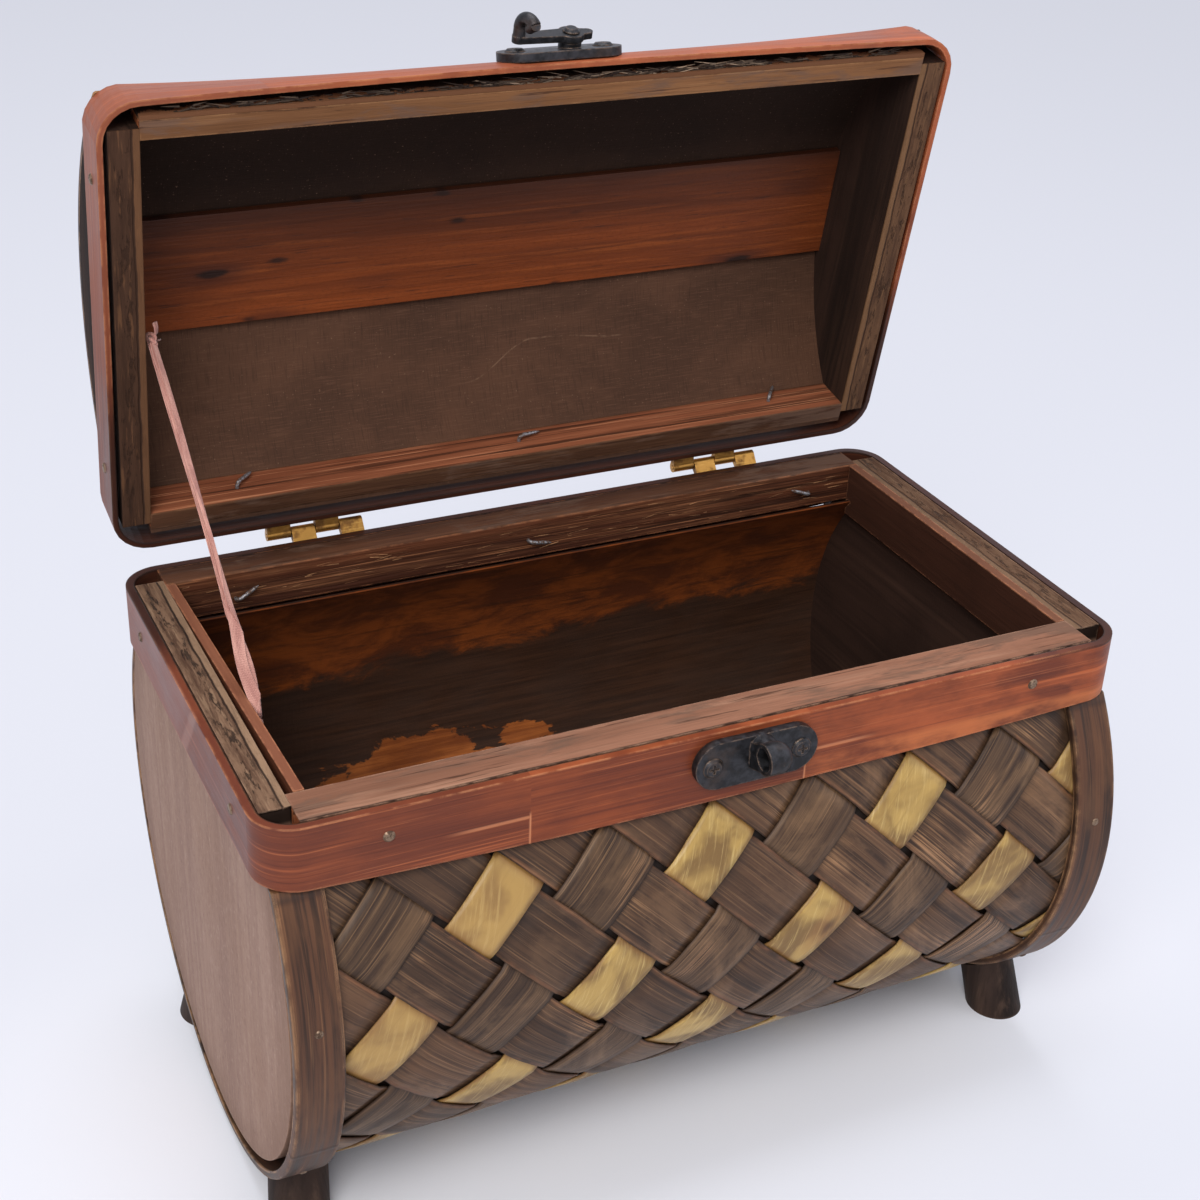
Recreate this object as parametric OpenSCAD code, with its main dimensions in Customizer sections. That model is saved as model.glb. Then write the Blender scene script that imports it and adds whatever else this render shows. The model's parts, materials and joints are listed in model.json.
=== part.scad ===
// Ditty box: a barrel-bodied keepsake box of bent ply and bias-woven wood strips,
// with a domed lid on two butt hinges, a swinging hook latch and a ribbon stay.
// Units are millimetres.  X runs along the box, -Y is the front, +Z is up, z = 0 is the table.
// The origin lies on the table under the middle of the box with its lid open.

/* [Overall] */
// Length over the rim bands
box_l = 270; // [200:1:360]
// Depth over the rim bands
box_d = 150; // [140:1:160]
// Gap between the barrel and the table
barrel_clear = 3.2; // [1:0.1:8]
// Angle by which the lid stands open
lid_open = 78.9; // [60:0.1:88]
// Gap between the two rims when the lid is shut
rim_gap = 0.4; // [0.3:0.05:1]

/* [Barrel body] */
// How far the barrel bulges in front of the rim, over its edge binding
barrel_bulge = 12; // [9:0.5:15]
// How far the barrel's skin passes inside the rim band's wall at its foot
barrel_tuck = 0.5; // [0.3:0.1:2]
// How far the arc of the end panels lies above the barrel's
panel_rise = 2; // [0:0.5:4]
// Thickness of the end panels
panel_t = 8.6; // [6:0.1:12]
// From the rim band's face to the straight sides of the end panels
panel_inset = 10.5; // [9:0.5:16]
// Thickness of the bent ply liner
liner_t = 1.3; // [1:0.1:2]
// Width of the front batten under the rim
batten_front_w = 13.2; // [9:0.1:16]
// Width of the back batten under the rim
batten_back_w = 10.4; // [8:0.1:14]
// Height of the battens under the rim
batten_h = 13; // [10:0.5:15]
// Thickness of the side strips inside the mouth
side_strip_t = 3; // [2:0.1:4]
// Height of the side strips
side_strip_h = 18.5; // [12:0.5:24]
// How far the left side strip has sprung off its panel at the front
side_strip_spring = 2.4; // [0:0.1:4]

/* [Domed lid] */
// Radius of the dome over its edge binding
dome_r = 98; // [94:0.5:102]
// Height of the crown above the lid's mouth
dome_h = 45; // [42:0.5:48]
// From the rim band's face to the straight sides of the lid's end panels
lid_panel_inset = 9.5; // [9:0.5:14]
// From the rim band's face to the lid liner's straight skirt
skirt_inset = 5.7; // [5:0.1:9]
// Thickness of the lid's front and back battens
lid_batten_t = 5.7; // [4:0.1:8]
// Height of the lid's front batten
lid_batten_front_h = 9; // [6:0.5:12]
// Height of the lid's back batten
lid_batten_back_h = 14; // [10:0.5:16]
// Width of the slat under the crown
slat_w = 38.5; // [25:0.5:45]
// Thickness of the slat under the crown
slat_t = 2.6; // [2:0.1:4]

/* [Edge binding and rim bands] */
// Width of the binding strips over the barrel's and the dome's ends
edge_w = 14; // [10:0.5:18]
// Thickness of the binding strips
edge_t = 2.7; // [2:0.1:3]
// Thickness of the lower band
band_t = 2.6; // [2:0.1:2.8]
// Thickness of the lid's band
lid_band_t = 1.7; // [1.4:0.1:2]
// Outer corner radius of the rim bands
band_corner_r = 12; // [9:0.5:16]
// Height of the lower band at its ends
base_band_h = 19; // [16:0.5:20]
// Extra height of the lower band at the middle of its length
base_band_belly = 3.5; // [0:0.5:5]
// Height of the lid's band
lid_band_h = 16; // [12:0.5:18]
// How far the lid's front band leans over the dome at the middle of its length
lid_band_lean = 27; // [24:1:29]
// Lean that is left at the ends of the lid's front band
lid_band_end_lean = 9; // [0:1:12]
// How far the ends of the lid's front band stand back from the lower band
lid_front_setback = 1.3; // [0:0.1:1.6]
// How far the lid's front band bows out at the middle of its length
lid_front_bow = 1.3; // [0:0.1:1.6]

/* [Weave] */
// Distance between neighbouring strips of one direction
weave_pitch = 23.2; // [20:0.1:28]
// Width of the gold strips
gold_w = 16.6; // [12:0.1:18]
// Width of the dark rising strips
dark_w = 20; // [14:0.1:20.5]
// Width of the falling strips
fall_w = 21.4; // [16:0.1:21.6]
// Thickness of a strip
weave_t = 0.6; // [0.4:0.05:0.8]
// Where a gold crossing lies along the body's front
weave_x = -6.8; // [-30:0.1:30]
// Arc from the barrel's lowest line up to that gold crossing
weave_s = 161.6; // [140:0.1:180]

/* [Feet] */
// Radius of a foot where it stands
foot_r = 9.2; // [6:0.1:12]
// Radius of a foot at its root
foot_root_r = 8.7; // [5:0.1:11]
// From the right end of the rim to the middle of the right feet's soles
foot_in_right = 6.5; // [3:0.1:20]
// From the left end of the rim to the middle of the left feet's soles
foot_in_left = 12.4; // [3:0.1:20]
// From the face of the rim to the middle of a foot's sole
foot_in_y = 24.5; // [18:0.5:32]
// Outward lean of the feet across the box
foot_splay = 18; // [0:1:24]
// Outward lean of the feet along the box
foot_splay_x = 6; // [0:1:12]

/* [Hinges] */
// Length of a hinge
hinge_l = 32; // [24:1:44]
// Distance of each hinge from the middle of the pair
hinge_x = 72.7; // [45:0.1:90]
// How far the pair of hinges is set off to the right
hinge_shift = 2.1; // [-4:0.1:4]
// Radius of the hinge knuckles
knuckle_r = 1.7; // [1.4:0.1:2.2]
// Radius of the hinge pins
hinge_pin_r = 0.8; // [0.6:0.05:0.9]
// How far the hinge line stands behind the bands
hinge_back = 4; // [3.4:0.1:5]
// Height of the hinge line above the lower rim
hinge_up = 1.6; // [1:0.1:2.2]
// Thickness of the hinge leaves
leaf_t = 0.8; // [0.6:0.05:1]
// Height of the hinge leaves
leaf_h = 12; // [9:0.5:13]

/* [Latch] */
// Length of the latch and keeper plates
plate_l = 38.6; // [34:0.1:46]
// Width of the latch and keeper plates
plate_w = 15; // [13:0.1:16]
// Thickness of the latch and keeper plates
plate_t = 2.6; // [2:0.1:3]
// Place of the keeper along the front
keeper_x = 6; // [4:0.1:9]
// Depth of the keeper's middle below the lower rim
keeper_drop = 9.4; // [9:0.1:10.4]
// Place of the latch plate along the front
latch_x = 1.9; // [0:0.1:4]
// Backward lean of the latch plate on the lid
latch_lean = 20; // [18:1:22]
// Distance between the screws of a plate
screw_span = 28; // [25:0.5:29]
// Radius of the screw heads
screw_head_r = 3.2; // [2.5:0.1:3.3]
// How far the hook's pivot is off the middle of its plate
pivot_off = 3.2; // [0:0.1:4]
// Distance from the pivot to the hook's horn
horn_a = 16.4; // [15:0.1:17]
// Height of the horn's straight stem
horn_stem = 2.4; // [2:0.1:3]
// Bending radius of the horn
horn_bend = 4; // [3.4:0.1:4.2]
// Radius of the horn at its bend
horn_r = 1.8; // [1.4:0.1:1.9]
// Height of the hood's hole above the keeper plate
hood_up = 7.2; // [6.9:0.1:7.6]
// Radius of the hood's hole
hood_hole_r = 3.4; // [3.3:0.05:3.6]

/* [Ribbon stay] */
// Width of the ribbon
ribbon_w = 9; // [5:0.5:12]
// Thickness of the ribbon
ribbon_t = 0.6; // [0.4:0.1:1]

/* [Hidden] */
$fn = 96;
round_fn = 32;
arc_fn = 720;
cut = 1;          // overrun of a cutting tool past the face it cuts
fit = 0.1;        // clearance between curved faces that lie on each other
slip = 0.3;       // clearance between pieces that move past each other
pin_play = 0.06;  // radial clearance of a pin in its bore
root2 = sqrt(2);

// Colours
ply_brown = "#8a6f5c";
liner_brown = "#5c4030";
batten_brown = "#7a5240";
band_red = "#9a4a34";
strip_brown = "#6e5038";
weave_brown = "#5e4a3e";
weave_gold = "#b89a58";
foot_brown = "#3e352c";
bronze = "#45454a";
brass = "#b08a3c";
slat_red = "#8e4424";
ribbon_pink = "#c09088";

// Heights and radii
barrel_r = box_d / 2 + barrel_bulge;
barrel_drop = base_band_h
    + sqrt(pow(barrel_r, 2) - pow(box_d / 2 - band_t - barrel_tuck, 2));
rim_z = barrel_clear + barrel_r + barrel_drop;
panel_drop = barrel_drop - panel_rise;
panel_half_top = box_d / 2 - panel_inset;
lid_panel_half = box_d / 2 - lid_panel_inset;
skirt_half = box_d / 2 - skirt_inset;

// Rim frame
band_in_x = box_l / 2 - band_t;
band_in_y = box_d / 2 - band_t;
band_seat = 0.4;                       // gap between a band and the battens it goes round
batten_out = band_in_y - band_seat;
panel_out = band_in_x - band_seat;
panel_in = panel_out - panel_t;

// Barrel: radii from the outside in
weave_gap = 0.45;                      // clearance between two crossing strips
weave_lift = (weave_t + weave_gap) / 2;
weave_crown = 0.12;                    // how much an upper strip bulges in the middle of a crossing
weave_sag = 0.75;                      // how far a flat strip cuts inside the curve it lies on
weave_half = weave_lift + weave_t / 2;
barrel_z = rim_z - barrel_drop;
edge_in_r = barrel_r - edge_t;
weave_r = edge_in_r - weave_half - weave_crown - 2 * fit;
liner_r = weave_r - weave_half - weave_sag - fit / 2;
panel_r = edge_in_r - 0.75 * (panel_rise) - fit;
weave_top_drop = base_band_h - 0.5;    // the weave ends behind the band
edge_top_drop = base_band_h - 5;       // the binding ends behind the band

// Dome: the same layers, in the lid's own frame with z = 0 at its mouth
dome_z = dome_h - dome_r;
dome_edge_r = dome_r - edge_t;
dome_weave_r = dome_edge_r - weave_half - weave_crown - 2 * fit;
dome_liner_r = dome_weave_r - weave_half - weave_sag - fit / 2;
dome_panel_r = dome_edge_r - fit;
dome_weave_z = lid_band_h + 0.8;       // the weave starts above the band
dome_edge_z = lid_band_h + fit;        // the binding stands on the band's upper edge
lid_batten_out = skirt_half - liner_t - fit;

// Hinge line
hinge_y = box_d / 2 + hinge_back;
hinge_z = rim_z + hinge_up;
leaf_gap = 1;                          // from the leaves' near edges to the two rims
knuckle_n = 4;
knuckle_l = hinge_l / knuckle_n;
knuckle_slip = 0.15;

// How far the part reaches to the front and, with its lid open, to the back
dome_axis_dy = -hinge_y;
dome_axis_dz = rim_z + rim_gap + dome_z - hinge_z;
back_reach = hinge_y + dome_axis_dy * cos(lid_open) + dome_axis_dz * sin(lid_open) + dome_r;
frame_y = (barrel_r - back_reach) / 2;

// Lid band: heights and leans of the three bends of its front wall
band_bend_h = [0, 0.31, 0.62, 1];
band_bend_lean = [0.3, 0.6, 0.85, 1];
band_step_x = 12;
corner_steps = 6;

// Latch: the plate leans with the band, the pivot stays level when the lid is shut
plate_seat_h = band_bend_h[2] * lid_band_h;
boss_r = 3.4;
boss_start = 0.9;
arm_back = plate_w / 2 * sin(latch_lean) + plate_t * cos(latch_lean) + slip;
arm_t = 2;
arm_w = 4;
eye_r = 3.9;
tail_len = 5.2;
tail_r = 1.6;
horn_turn = 130;
horn_yaw = 15;
horn_tip_len = 2.6;
horn_tip_r = 1.5;
rivet_r = 1.4;
rivet_head_r = 2.6;
rivet_head_h = 1;
hood_wall = 1.2;
hood_len = 3.8;                        // from the hood's mouth to the centre of its round end
hood_mouth = -2.6;                     // the mouth's place, from the middle of the keeper
hood_rise = 4.2;                       // the hole's height above the middle of the keeper
screw_r = 1.4;
screw_len = 9;
screw_head_h = 0.9;

// Nails
nail_r = 0.8;
nail_head_r = 1.7;
nail_head_h = 0.5;
nail_len = 8;
lid_nail_len = 2.2;
nail_drop = 8.5;
nail_front_x = 101;
nail_side_y = 48;
hinge_screw_r = 1;
hinge_screw_head_r = 1.9;
hinge_screw_head_h = 0.6;
hinge_screw_len = 3;
hinge_screw_span = 16;

// Ribbon ends: on the left side strip, and inside the lid's left end panel
ribbon_base_y = -15;
ribbon_base_drop = 4;
ribbon_lid_y = 2;
ribbon_lid_z = 3;
ribbon_off = 1.1;                      // from the strip's face to the middle of the ribbon
knot_r = 2.4;

// ---- frames ----
module in_base() {
    translate([0, frame_y, 0]) children();
}

module in_lid() {
    in_base()
        translate([0, hinge_y, hinge_z])
            rotate([-lid_open, 0, 0])
                translate([0, -hinge_y, rim_z + rim_gap - hinge_z])
                    children();
}

// Lays a drawing in the YZ plane and gives it a width along X
module along_x(from_x, to_x) {
    translate([from_x, 0, 0])
        rotate([90, 0, 90])
            linear_extrude(height = to_x - from_x)
                children();
}

// ---- shared shapes ----
module ring_sector(r_out, r_in) {
    difference() {
        circle(r = r_out, $fn = arc_fn / 4);
        circle(r = r_in, $fn = arc_fn / 4);
    }
}

// A binding strip: a bamboo slat bent round an arc about the X axis, rounded on its outer edges
module bent_slat(from_x, r_out, from_a, to_a) {
    soft = 0.9;
    translate([from_x, 0, 0])
        rotate([0, 90, 0])
            rotate([0, 0, from_a])
                rotate_extrude(angle = to_a - from_a, $fn = arc_fn / 4)
                    polygon([[r_out - edge_t, 0], [r_out - soft, 0], [r_out - soft * 0.3, soft * 0.3],
                        [r_out, soft], [r_out, edge_w - soft], [r_out - soft * 0.3, edge_w - soft * 0.3],
                        [r_out - soft, edge_w], [r_out - edge_t, edge_w]]);
}

module rounded_ring(l, d, r, t) {
    difference() {
        rounded_plan(l, d, r);
        rounded_plan(l - 2 * t, d - 2 * t, r - t);
    }
}

module rounded_plan(l, d, r) {
    union() {
        square([l - 2 * r, d], center = true);
        square([l, d - 2 * r], center = true);
        for (sx = [-1, 1], sy = [-1, 1])
            translate([sx * (l / 2 - r), sy * (d / 2 - r)]) circle(r = r);
    }
}

// ---- woven skin ----
// Both directions share one plan: a strip lies at w across and runs along t.
// The strips that cross it lie at t = q + k * pitch.
function rising_w(k) = k % 2 == 0 ? gold_w : dark_w;
function crossing_half(k, over_rising) = (over_rising ? rising_w(k) : fall_w) / 2;
function parity(k, n) = (k + n) % 2 == 0 ? 1 : -1;

// Height of strip n at t: up over one crossing, down under the next
function weave_level(t, q, n, over_rising) =
    let (k = round((t - q) / weave_pitch),
         d = abs(t - q - k * weave_pitch),
         half = crossing_half(k, over_rising),
         up = parity(k, n) * (over_rising ? -1 : 1),
         side = max(0, d - half) / (weave_pitch / 2 - half))
    up * weave_lift * (1 - side) + (up > 0 && d < 1 ? weave_crown : 0);

function strip_lo(w, half_x, half_s) = max(-half_x * root2 - w, w - half_s * root2);
function strip_hi(w, half_x, half_s) = min(half_x * root2 - w, w + half_s * root2);

// Places along one long edge where the strip bends
function bend_places(lo, hi, q, over_rising) =
    let (clear = 0.1,
         k_lo = floor((lo - q) / weave_pitch),
         k_hi = ceil((hi - q) / weave_pitch))
    [lo,
     for (k = [k_lo:k_hi])
         for (m = [-1, 0, 1])
             let (t = q + k * weave_pitch + m * crossing_half(k, over_rising))
             if (t > lo + clear && t < hi - clear) t,
     hi];

// Bends between two ends of a strip, without the ends
function bends_between(from_t, to_t, q, over_rising) =
    let (all = bend_places(from_t, to_t, q, over_rising))
    [for (i = [1:1:len(all) - 2]) all[i]];

// Triangles that join two rows of points, always stepping along the row that lags
function zip_rows(a, b, i = 0, j = 0) =
    i == len(a) - 1 && j == len(b) - 1 ? [] :
    j == len(b) - 1 || (i < len(a) - 1 && a[i + 1][0] < b[j + 1][0] - 0.01)
        ? concat([[i, i + 1, len(a) + j]], zip_rows(a, b, i + 1, j))
        : concat([[i, len(a) + j + 1, len(a) + j]], zip_rows(a, b, i, j + 1));

// A point of the mat, wrapped round the X axis at radius r; up is 1 over a dome, -1 under a barrel
function wrapped(x, s, h, r, up) =
    let (a = s / r * 180 / PI)
    [x, -(r + h) * sin(a), up * (r + h) * cos(a)];

module woven_strip(n, at, width, q, over_rising, half_x, half_s, r, up) {
    lean = over_rising ? -1 : 1;
    w_a = at - width / 2;
    w_b = at + width / 2;
    lo = [for (w = [w_a, w_b]) strip_lo(w, half_x, half_s)];
    hi = [for (w = [w_a, w_b]) strip_hi(w, half_x, half_s)];
    end_x = half_x * root2;
    end_s = half_s * root2;
    // The slanting ends bend where the strip does, so that they stay clear of what they cross
    row_a = [
        for (t = bends_between(lo[1], lo[0], q, over_rising)) [t, -end_x - t],
        for (t = bend_places(lo[0], hi[0], q, over_rising)) [t, w_a],
        for (t = bends_between(hi[0], hi[1], q, over_rising)) [t, t - end_s]];
    row_b = [
        for (t = bends_between(lo[0], lo[1], q, over_rising)) [t, t + end_s],
        for (t = bend_places(lo[1], hi[1], q, over_rising)) [t, w_b],
        for (t = bends_between(hi[1], hi[0], q, over_rising)) [t, end_x - t]];
    rows = concat(row_a, row_b);
    count = len(rows);
    points = [for (side = [1, -1])
        for (p = rows)
            wrapped((p[0] + p[1]) / root2, lean * (p[0] - p[1]) / root2,
                weave_level(p[0], q, n, over_rising) + side * weave_t / 2, r, up)];
    top = zip_rows(row_a, row_b);
    last_a = len(row_a) - 1;
    first_b = len(row_a);
    faces = concat(
        top,
        [for (f = top) [f[2] + count, f[1] + count, f[0] + count]],
        [for (i = [0:last_a - 1]) [i + 1, i, i + count, i + 1 + count]],
        [for (i = [first_b:count - 2]) [i, i + 1, i + 1 + count, i + count]],
        [[0, first_b, first_b + count, count],
         [count - 1, last_a, last_a + count, count - 1 + count]]);
    flip = lean * up > 0;
    polyhedron(points = points,
        faces = flip ? [for (f = faces) [for (i = [len(f) - 1:-1:0]) f[i]]] : faces);
}

// All strips of one direction: kind 0 is gold, 1 is dark, 2 is falling
module woven_strips(kind, half_x, half_s, r, up, mark_x, mark_s) {
    q_rise = (mark_x - mark_s) / root2;
    q_fall = (mark_x + mark_s) / root2;
    falling = kind == 2;
    at_zero = falling ? q_fall : q_rise;
    reach = (half_x + half_s) / root2;
    least = 7;
    for (n = [floor((-reach - at_zero) / weave_pitch):ceil((reach - at_zero) / weave_pitch)]) {
        at = at_zero + n * weave_pitch;
        width = falling ? fall_w : rising_w(n);
        right_kind = falling || (kind == 0) == (n % 2 == 0);
        runs = [for (w = [at - width / 2, at + width / 2])
            strip_hi(w, half_x, half_s) - strip_lo(w, half_x, half_s)];
        if (right_kind && min(runs) > least)
            woven_strip(n, at, width, falling ? q_rise : q_fall, falling, half_x, half_s, r, up);
    }
}

weave_half_x = panel_in - fit;
base_weave_half_s = weave_r * (90 + asin((barrel_drop - weave_top_drop) / weave_r)) * PI / 180;
dome_weave_half_s = dome_weave_r * acos((dome_weave_z - dome_z) / dome_weave_r) * PI / 180;

module base_weave(kind) {
    in_base() translate([0, 0, barrel_z])
        woven_strips(kind, weave_half_x, base_weave_half_s, weave_r, -1, weave_x, weave_s);
}

module lid_weave(kind) {
    in_lid() translate([0, 0, dome_z])
        woven_strips(kind, weave_half_x, dome_weave_half_s, dome_weave_r, 1, 0, 0);
}

module base_weave_gold() { color(weave_gold) base_weave(0); }
module base_weave_dark() { color(weave_brown) base_weave(1); }
module base_weave_falling() { color(weave_brown) base_weave(2); }
module lid_weave_gold() { color(weave_gold) lid_weave(0); }
module lid_weave_dark() { color(weave_brown) lid_weave(1); }
module lid_weave_falling() { color(weave_brown) lid_weave(2); }

// ---- nail and screw places ----
module base_nail_places() {
    translate([0, 0, rim_z - nail_drop]) {
        for (sx = [-1, 1], sy = [-1, 1]) {
            translate([sx * nail_front_x, sy * box_d / 2, 0]) rotate([-sy * 90, 0, 0]) children();
            translate([sx * box_l / 2, sy * nail_side_y, 0]) rotate([0, sx * 90, 0]) children();
        }
    }
}

module lid_nail_places() {
    for (sx = [-1, 1]) {
        translate([sx * nail_front_x, box_d / 2, lid_band_h / 2]) rotate([-90, 0, 0]) children();
        for (sy = [-1, 1])
            translate([sx * box_l / 2, sy * nail_side_y, lid_band_h / 2])
                rotate([0, sx * 90, 0]) children();
    }
}

// A nail or screw that points into the wood, its head on z = 0
module peg_with_head(r, len, head_r, head_h) {
    translate([0, 0, -len]) cylinder(r = r, h = len + head_h / 2, $fn = round_fn);
    cylinder(r1 = head_r, r2 = head_r * 0.7, h = head_h);
}

module peg_hole(r, len) {
    translate([0, 0, -len - fit]) cylinder(r = r + fit, h = len + fit + cut);
}

module base_nail_holes() {
    base_nail_places() peg_hole(nail_r, nail_len);
}

module base_band_nails() {
    color(bronze) in_base() base_nail_places()
        peg_with_head(nail_r, nail_len, nail_head_r, nail_head_h);
}

module lid_band_nails() {
    color(bronze) in_lid() lid_nail_places()
        peg_with_head(nail_r, lid_nail_len, nail_head_r, nail_head_h);
}

// ---- base ----

// The room that the rim band takes at its foot, where panels and bindings are trimmed to it
module base_band_room() {
    play = 0.9;
    translate([0, 0, rim_z - base_band_h - play])
        linear_extrude(height = base_band_h)
            difference() {
                square([2 * box_l, 2 * box_d], center = true);
                rounded_plan(2 * (band_in_x - fit), 2 * (band_in_y - fit), band_corner_r - band_t - fit);
            }
}

module base_end_panel(side) {
    color(ply_brown) in_base()
        difference() {
            translate([side < 0 ? -panel_out : panel_in, 0, rim_z])
                along_x(0, panel_t) {
                    difference() {
                        translate([0, -panel_drop]) circle(r = panel_r, $fn = arc_fn / 4);
                        translate([0, barrel_r])
                            square([4 * barrel_r, 2 * (barrel_r + panel_top_drop)], center = true);
                    }
                    translate([-panel_half_top, -panel_drop])
                        square([2 * panel_half_top, panel_drop]);
                }
            base_nail_holes();
            base_band_room();
        }
}

// Depth at which the panel's straight sides run into its arc
panel_top_drop = panel_drop - sqrt(pow(panel_r, 2) - pow(panel_half_top, 2));

module base_end_panel_left() { base_end_panel(-1); }
module base_end_panel_right() { base_end_panel(1); }

// The body's inner skin, open at the top between its battens
module bent_skin(play) {
    translate([0, 0, barrel_z])
        along_x(-panel_in - play, panel_in + play)
            difference() {
                ring_sector(liner_r + play, liner_r - liner_t - play);
                translate([-2 * barrel_r, barrel_drop - batten_h + play]) square(4 * barrel_r);
            }
}

module base_liner() {
    color(liner_brown) in_base() bent_skin(0);
}

module base_batten(width, sy) {
    color(batten_brown) in_base()
        difference() {
            translate([-panel_in, sy > 0 ? batten_out - width : -batten_out, rim_z - batten_h])
                cube([2 * panel_in, width, batten_h]);
            base_nail_holes();
            keeper_places() peg_hole(screw_r, screw_len - plate_t);
        }
}

module base_batten_front() { base_batten(batten_front_w, -1); }
module base_batten_back() { base_batten(batten_back_w, 1); }

side_strip_front = -batten_out + batten_front_w + slip;
side_strip_back = batten_out - batten_back_w - slip;
side_strip_len = side_strip_back - side_strip_front;

module base_side_strip(side, spring) {
    color(batten_brown) in_base()
        difference() {
            translate([side * panel_in, side_strip_back, rim_z - side_strip_h])
                rotate([0, 0, -side * asin(spring / side_strip_len)])
                    translate([side < 0 ? 0 : -side_strip_t, -side_strip_len, 0])
                        cube([side_strip_t, side_strip_len, side_strip_h]);
            bent_skin(fit);
        }
}

module base_side_strip_left() { base_side_strip(-1, side_strip_spring); }
module base_side_strip_right() { base_side_strip(1, 0); }

// Angle from the level to the binding's upper end
edge_top_a = asin((barrel_drop - edge_top_drop) / barrel_r);

module base_edge_strip(side) {
    color(strip_brown) in_base()
        difference() {
            translate([0, 0, barrel_z])
                bent_slat(side < 0 ? -panel_out : panel_out - edge_w, barrel_r,
                    -90 - edge_top_a, 90 + edge_top_a);
            base_band_room();
        }
}

module base_edge_strip_left() { base_edge_strip(-1); }
module base_edge_strip_right() { base_edge_strip(1); }

module base_rim_band() {
    belly_r = pow(box_l / 2, 2) / (2 * base_band_belly) + base_band_belly / 2;
    full_h = base_band_h + base_band_belly;
    color(band_red) in_base()
        difference() {
            intersection() {
                translate([0, 0, rim_z - full_h])
                    linear_extrude(height = full_h)
                        rounded_ring(box_l, box_d, band_corner_r, band_t);
                translate([0, box_d, rim_z - full_h + belly_r])
                    rotate([90, 0, 0]) cylinder(r = belly_r, h = 2 * box_d, $fn = arc_fn);
            }
            base_nail_holes();
            keeper_places() peg_hole(screw_r, screw_len - plate_t);
            hinge_screw_places(-1) peg_hole(hinge_screw_r, hinge_screw_len);
        }
}

module foot(sx, sy) {
    lift = 34;
    color(foot_brown) in_base()
        difference() {
            translate([sx < 0 ? foot_in_left - box_l / 2 : box_l / 2 - foot_in_right,
                sy * (box_d / 2 - foot_in_y), 0])
                difference() {
                    rotate([sy * foot_splay, -sx * foot_splay_x, 0])
                        translate([0, 0, -foot_r])
                            cylinder(r1 = foot_r + (foot_r - foot_root_r) * foot_r / lift,
                                r2 = foot_root_r, h = lift + foot_r);
                    translate([0, 0, -2 * foot_r]) cube(4 * foot_r, center = true);
                }
            translate([-box_l, 0, barrel_z])
                rotate([0, 90, 0]) cylinder(r = barrel_r + fit, h = 2 * box_l, $fn = arc_fn / 4);
        }
}

module foot_front_left() { foot(-1, -1); }
module foot_front_right() { foot(1, -1); }
module foot_back_left() { foot(-1, 1); }
module foot_back_right() { foot(1, 1); }

// ---- keeper ----
module keeper_frame() {
    translate([keeper_x, -box_d / 2, rim_z - keeper_drop]) rotate([90, 0, 0]) children();
}

module keeper_places() {
    keeper_frame()
        for (sx = [-1, 1]) translate([sx * screw_span / 2, 0, 0]) children();
}

// A plate with round ends, its back on z = 0
module stadium_plate() {
    linear_extrude(height = plate_t) {
        square([plate_l - plate_w, plate_w], center = true);
        for (sx = [-1, 1]) translate([sx * (plate_l - plate_w) / 2, 0]) circle(r = plate_w / 2);
    }
}

// Holes for the screws of a plate, drilled from its back
module plate_screw_holes() {
    for (sx = [-1, 1])
        translate([sx * screw_span / 2, 0, -cut]) cylinder(r = screw_r + fit, h = plate_t + 2 * cut);
}

module plate_screws(len) {
    for (sx = [-1, 1])
        translate([sx * screw_span / 2, 0, plate_t])
            difference() {
                peg_with_head(screw_r, len, screw_head_r, screw_head_h);
                for (a = [0, 90])
                    rotate([0, 0, a])
                        translate([0, 0, screw_head_h])
                            cube([screw_head_r * 0.9, 0.6, screw_head_h], center = true);
            }
}

// The hood is a hollow finger that lies on the plate: the hook's horn swings into it from the left
module keeper_plate() {
    hood_r = hood_hole_r + hood_wall;
    root_low = -3;
    root_high = 5.2;
    color(bronze) in_base() keeper_frame()
        difference() {
            union() {
                stadium_plate();
                translate([hood_mouth, 0, 0])
                    along_x(0, hood_len)
                        polygon([[root_low, plate_t / 2], [root_high, plate_t / 2],
                            [hood_rise + hood_r * 0.96, plate_t + hood_up],
                            [hood_rise - hood_r * 0.96, plate_t + hood_up]]);
                translate([hood_mouth, hood_rise, plate_t + hood_up])
                    rotate([0, 90, 0]) cylinder(r = hood_r, h = hood_len);
                translate([hood_mouth + hood_len, hood_rise, plate_t + hood_up]) sphere(r = hood_r);
                translate([hood_mouth + hood_len, hood_rise - 0.6, plate_t / 2])
                    cylinder(r = hood_r - 0.6, h = hood_up + plate_t / 2);
            }
            translate([hood_mouth - cut, hood_rise, plate_t + hood_up])
                rotate([0, 90, 0]) cylinder(r = hood_hole_r, h = hood_len + cut);
            translate([hood_mouth + hood_len, hood_rise, plate_t + hood_up]) sphere(r = hood_hole_r);
            plate_screw_holes();
        }
}

module keeper_screws() {
    color(bronze) in_base() keeper_frame() plate_screws(screw_len);
}

// ---- hinges ----
// Drawn across the hinge: x is the distance behind the bands, y the height above the lower rim.
// The lid's leaf is the same drawing turned over, because its band starts above the rim gap.
module knuckle_section(up) {
    edge_y = up > 0 ? rim_gap + leaf_gap : -leaf_gap;
    difference() {
        union() {
            circle_at = [hinge_back, hinge_up];
            translate(circle_at) circle(r = knuckle_r, $fn = round_fn);
            polygon([[0, edge_y], [0, edge_y + up * 2 * leaf_t],
                [leaf_t, edge_y + up * 2 * leaf_t],
                [hinge_back, hinge_up + up * knuckle_r],
                [hinge_back - knuckle_r * 0.7, hinge_up - up * knuckle_r * 0.7]]);
        }
        translate([hinge_back, hinge_up]) circle(r = hinge_pin_r + pin_play, $fn = round_fn);
    }
}

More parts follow.
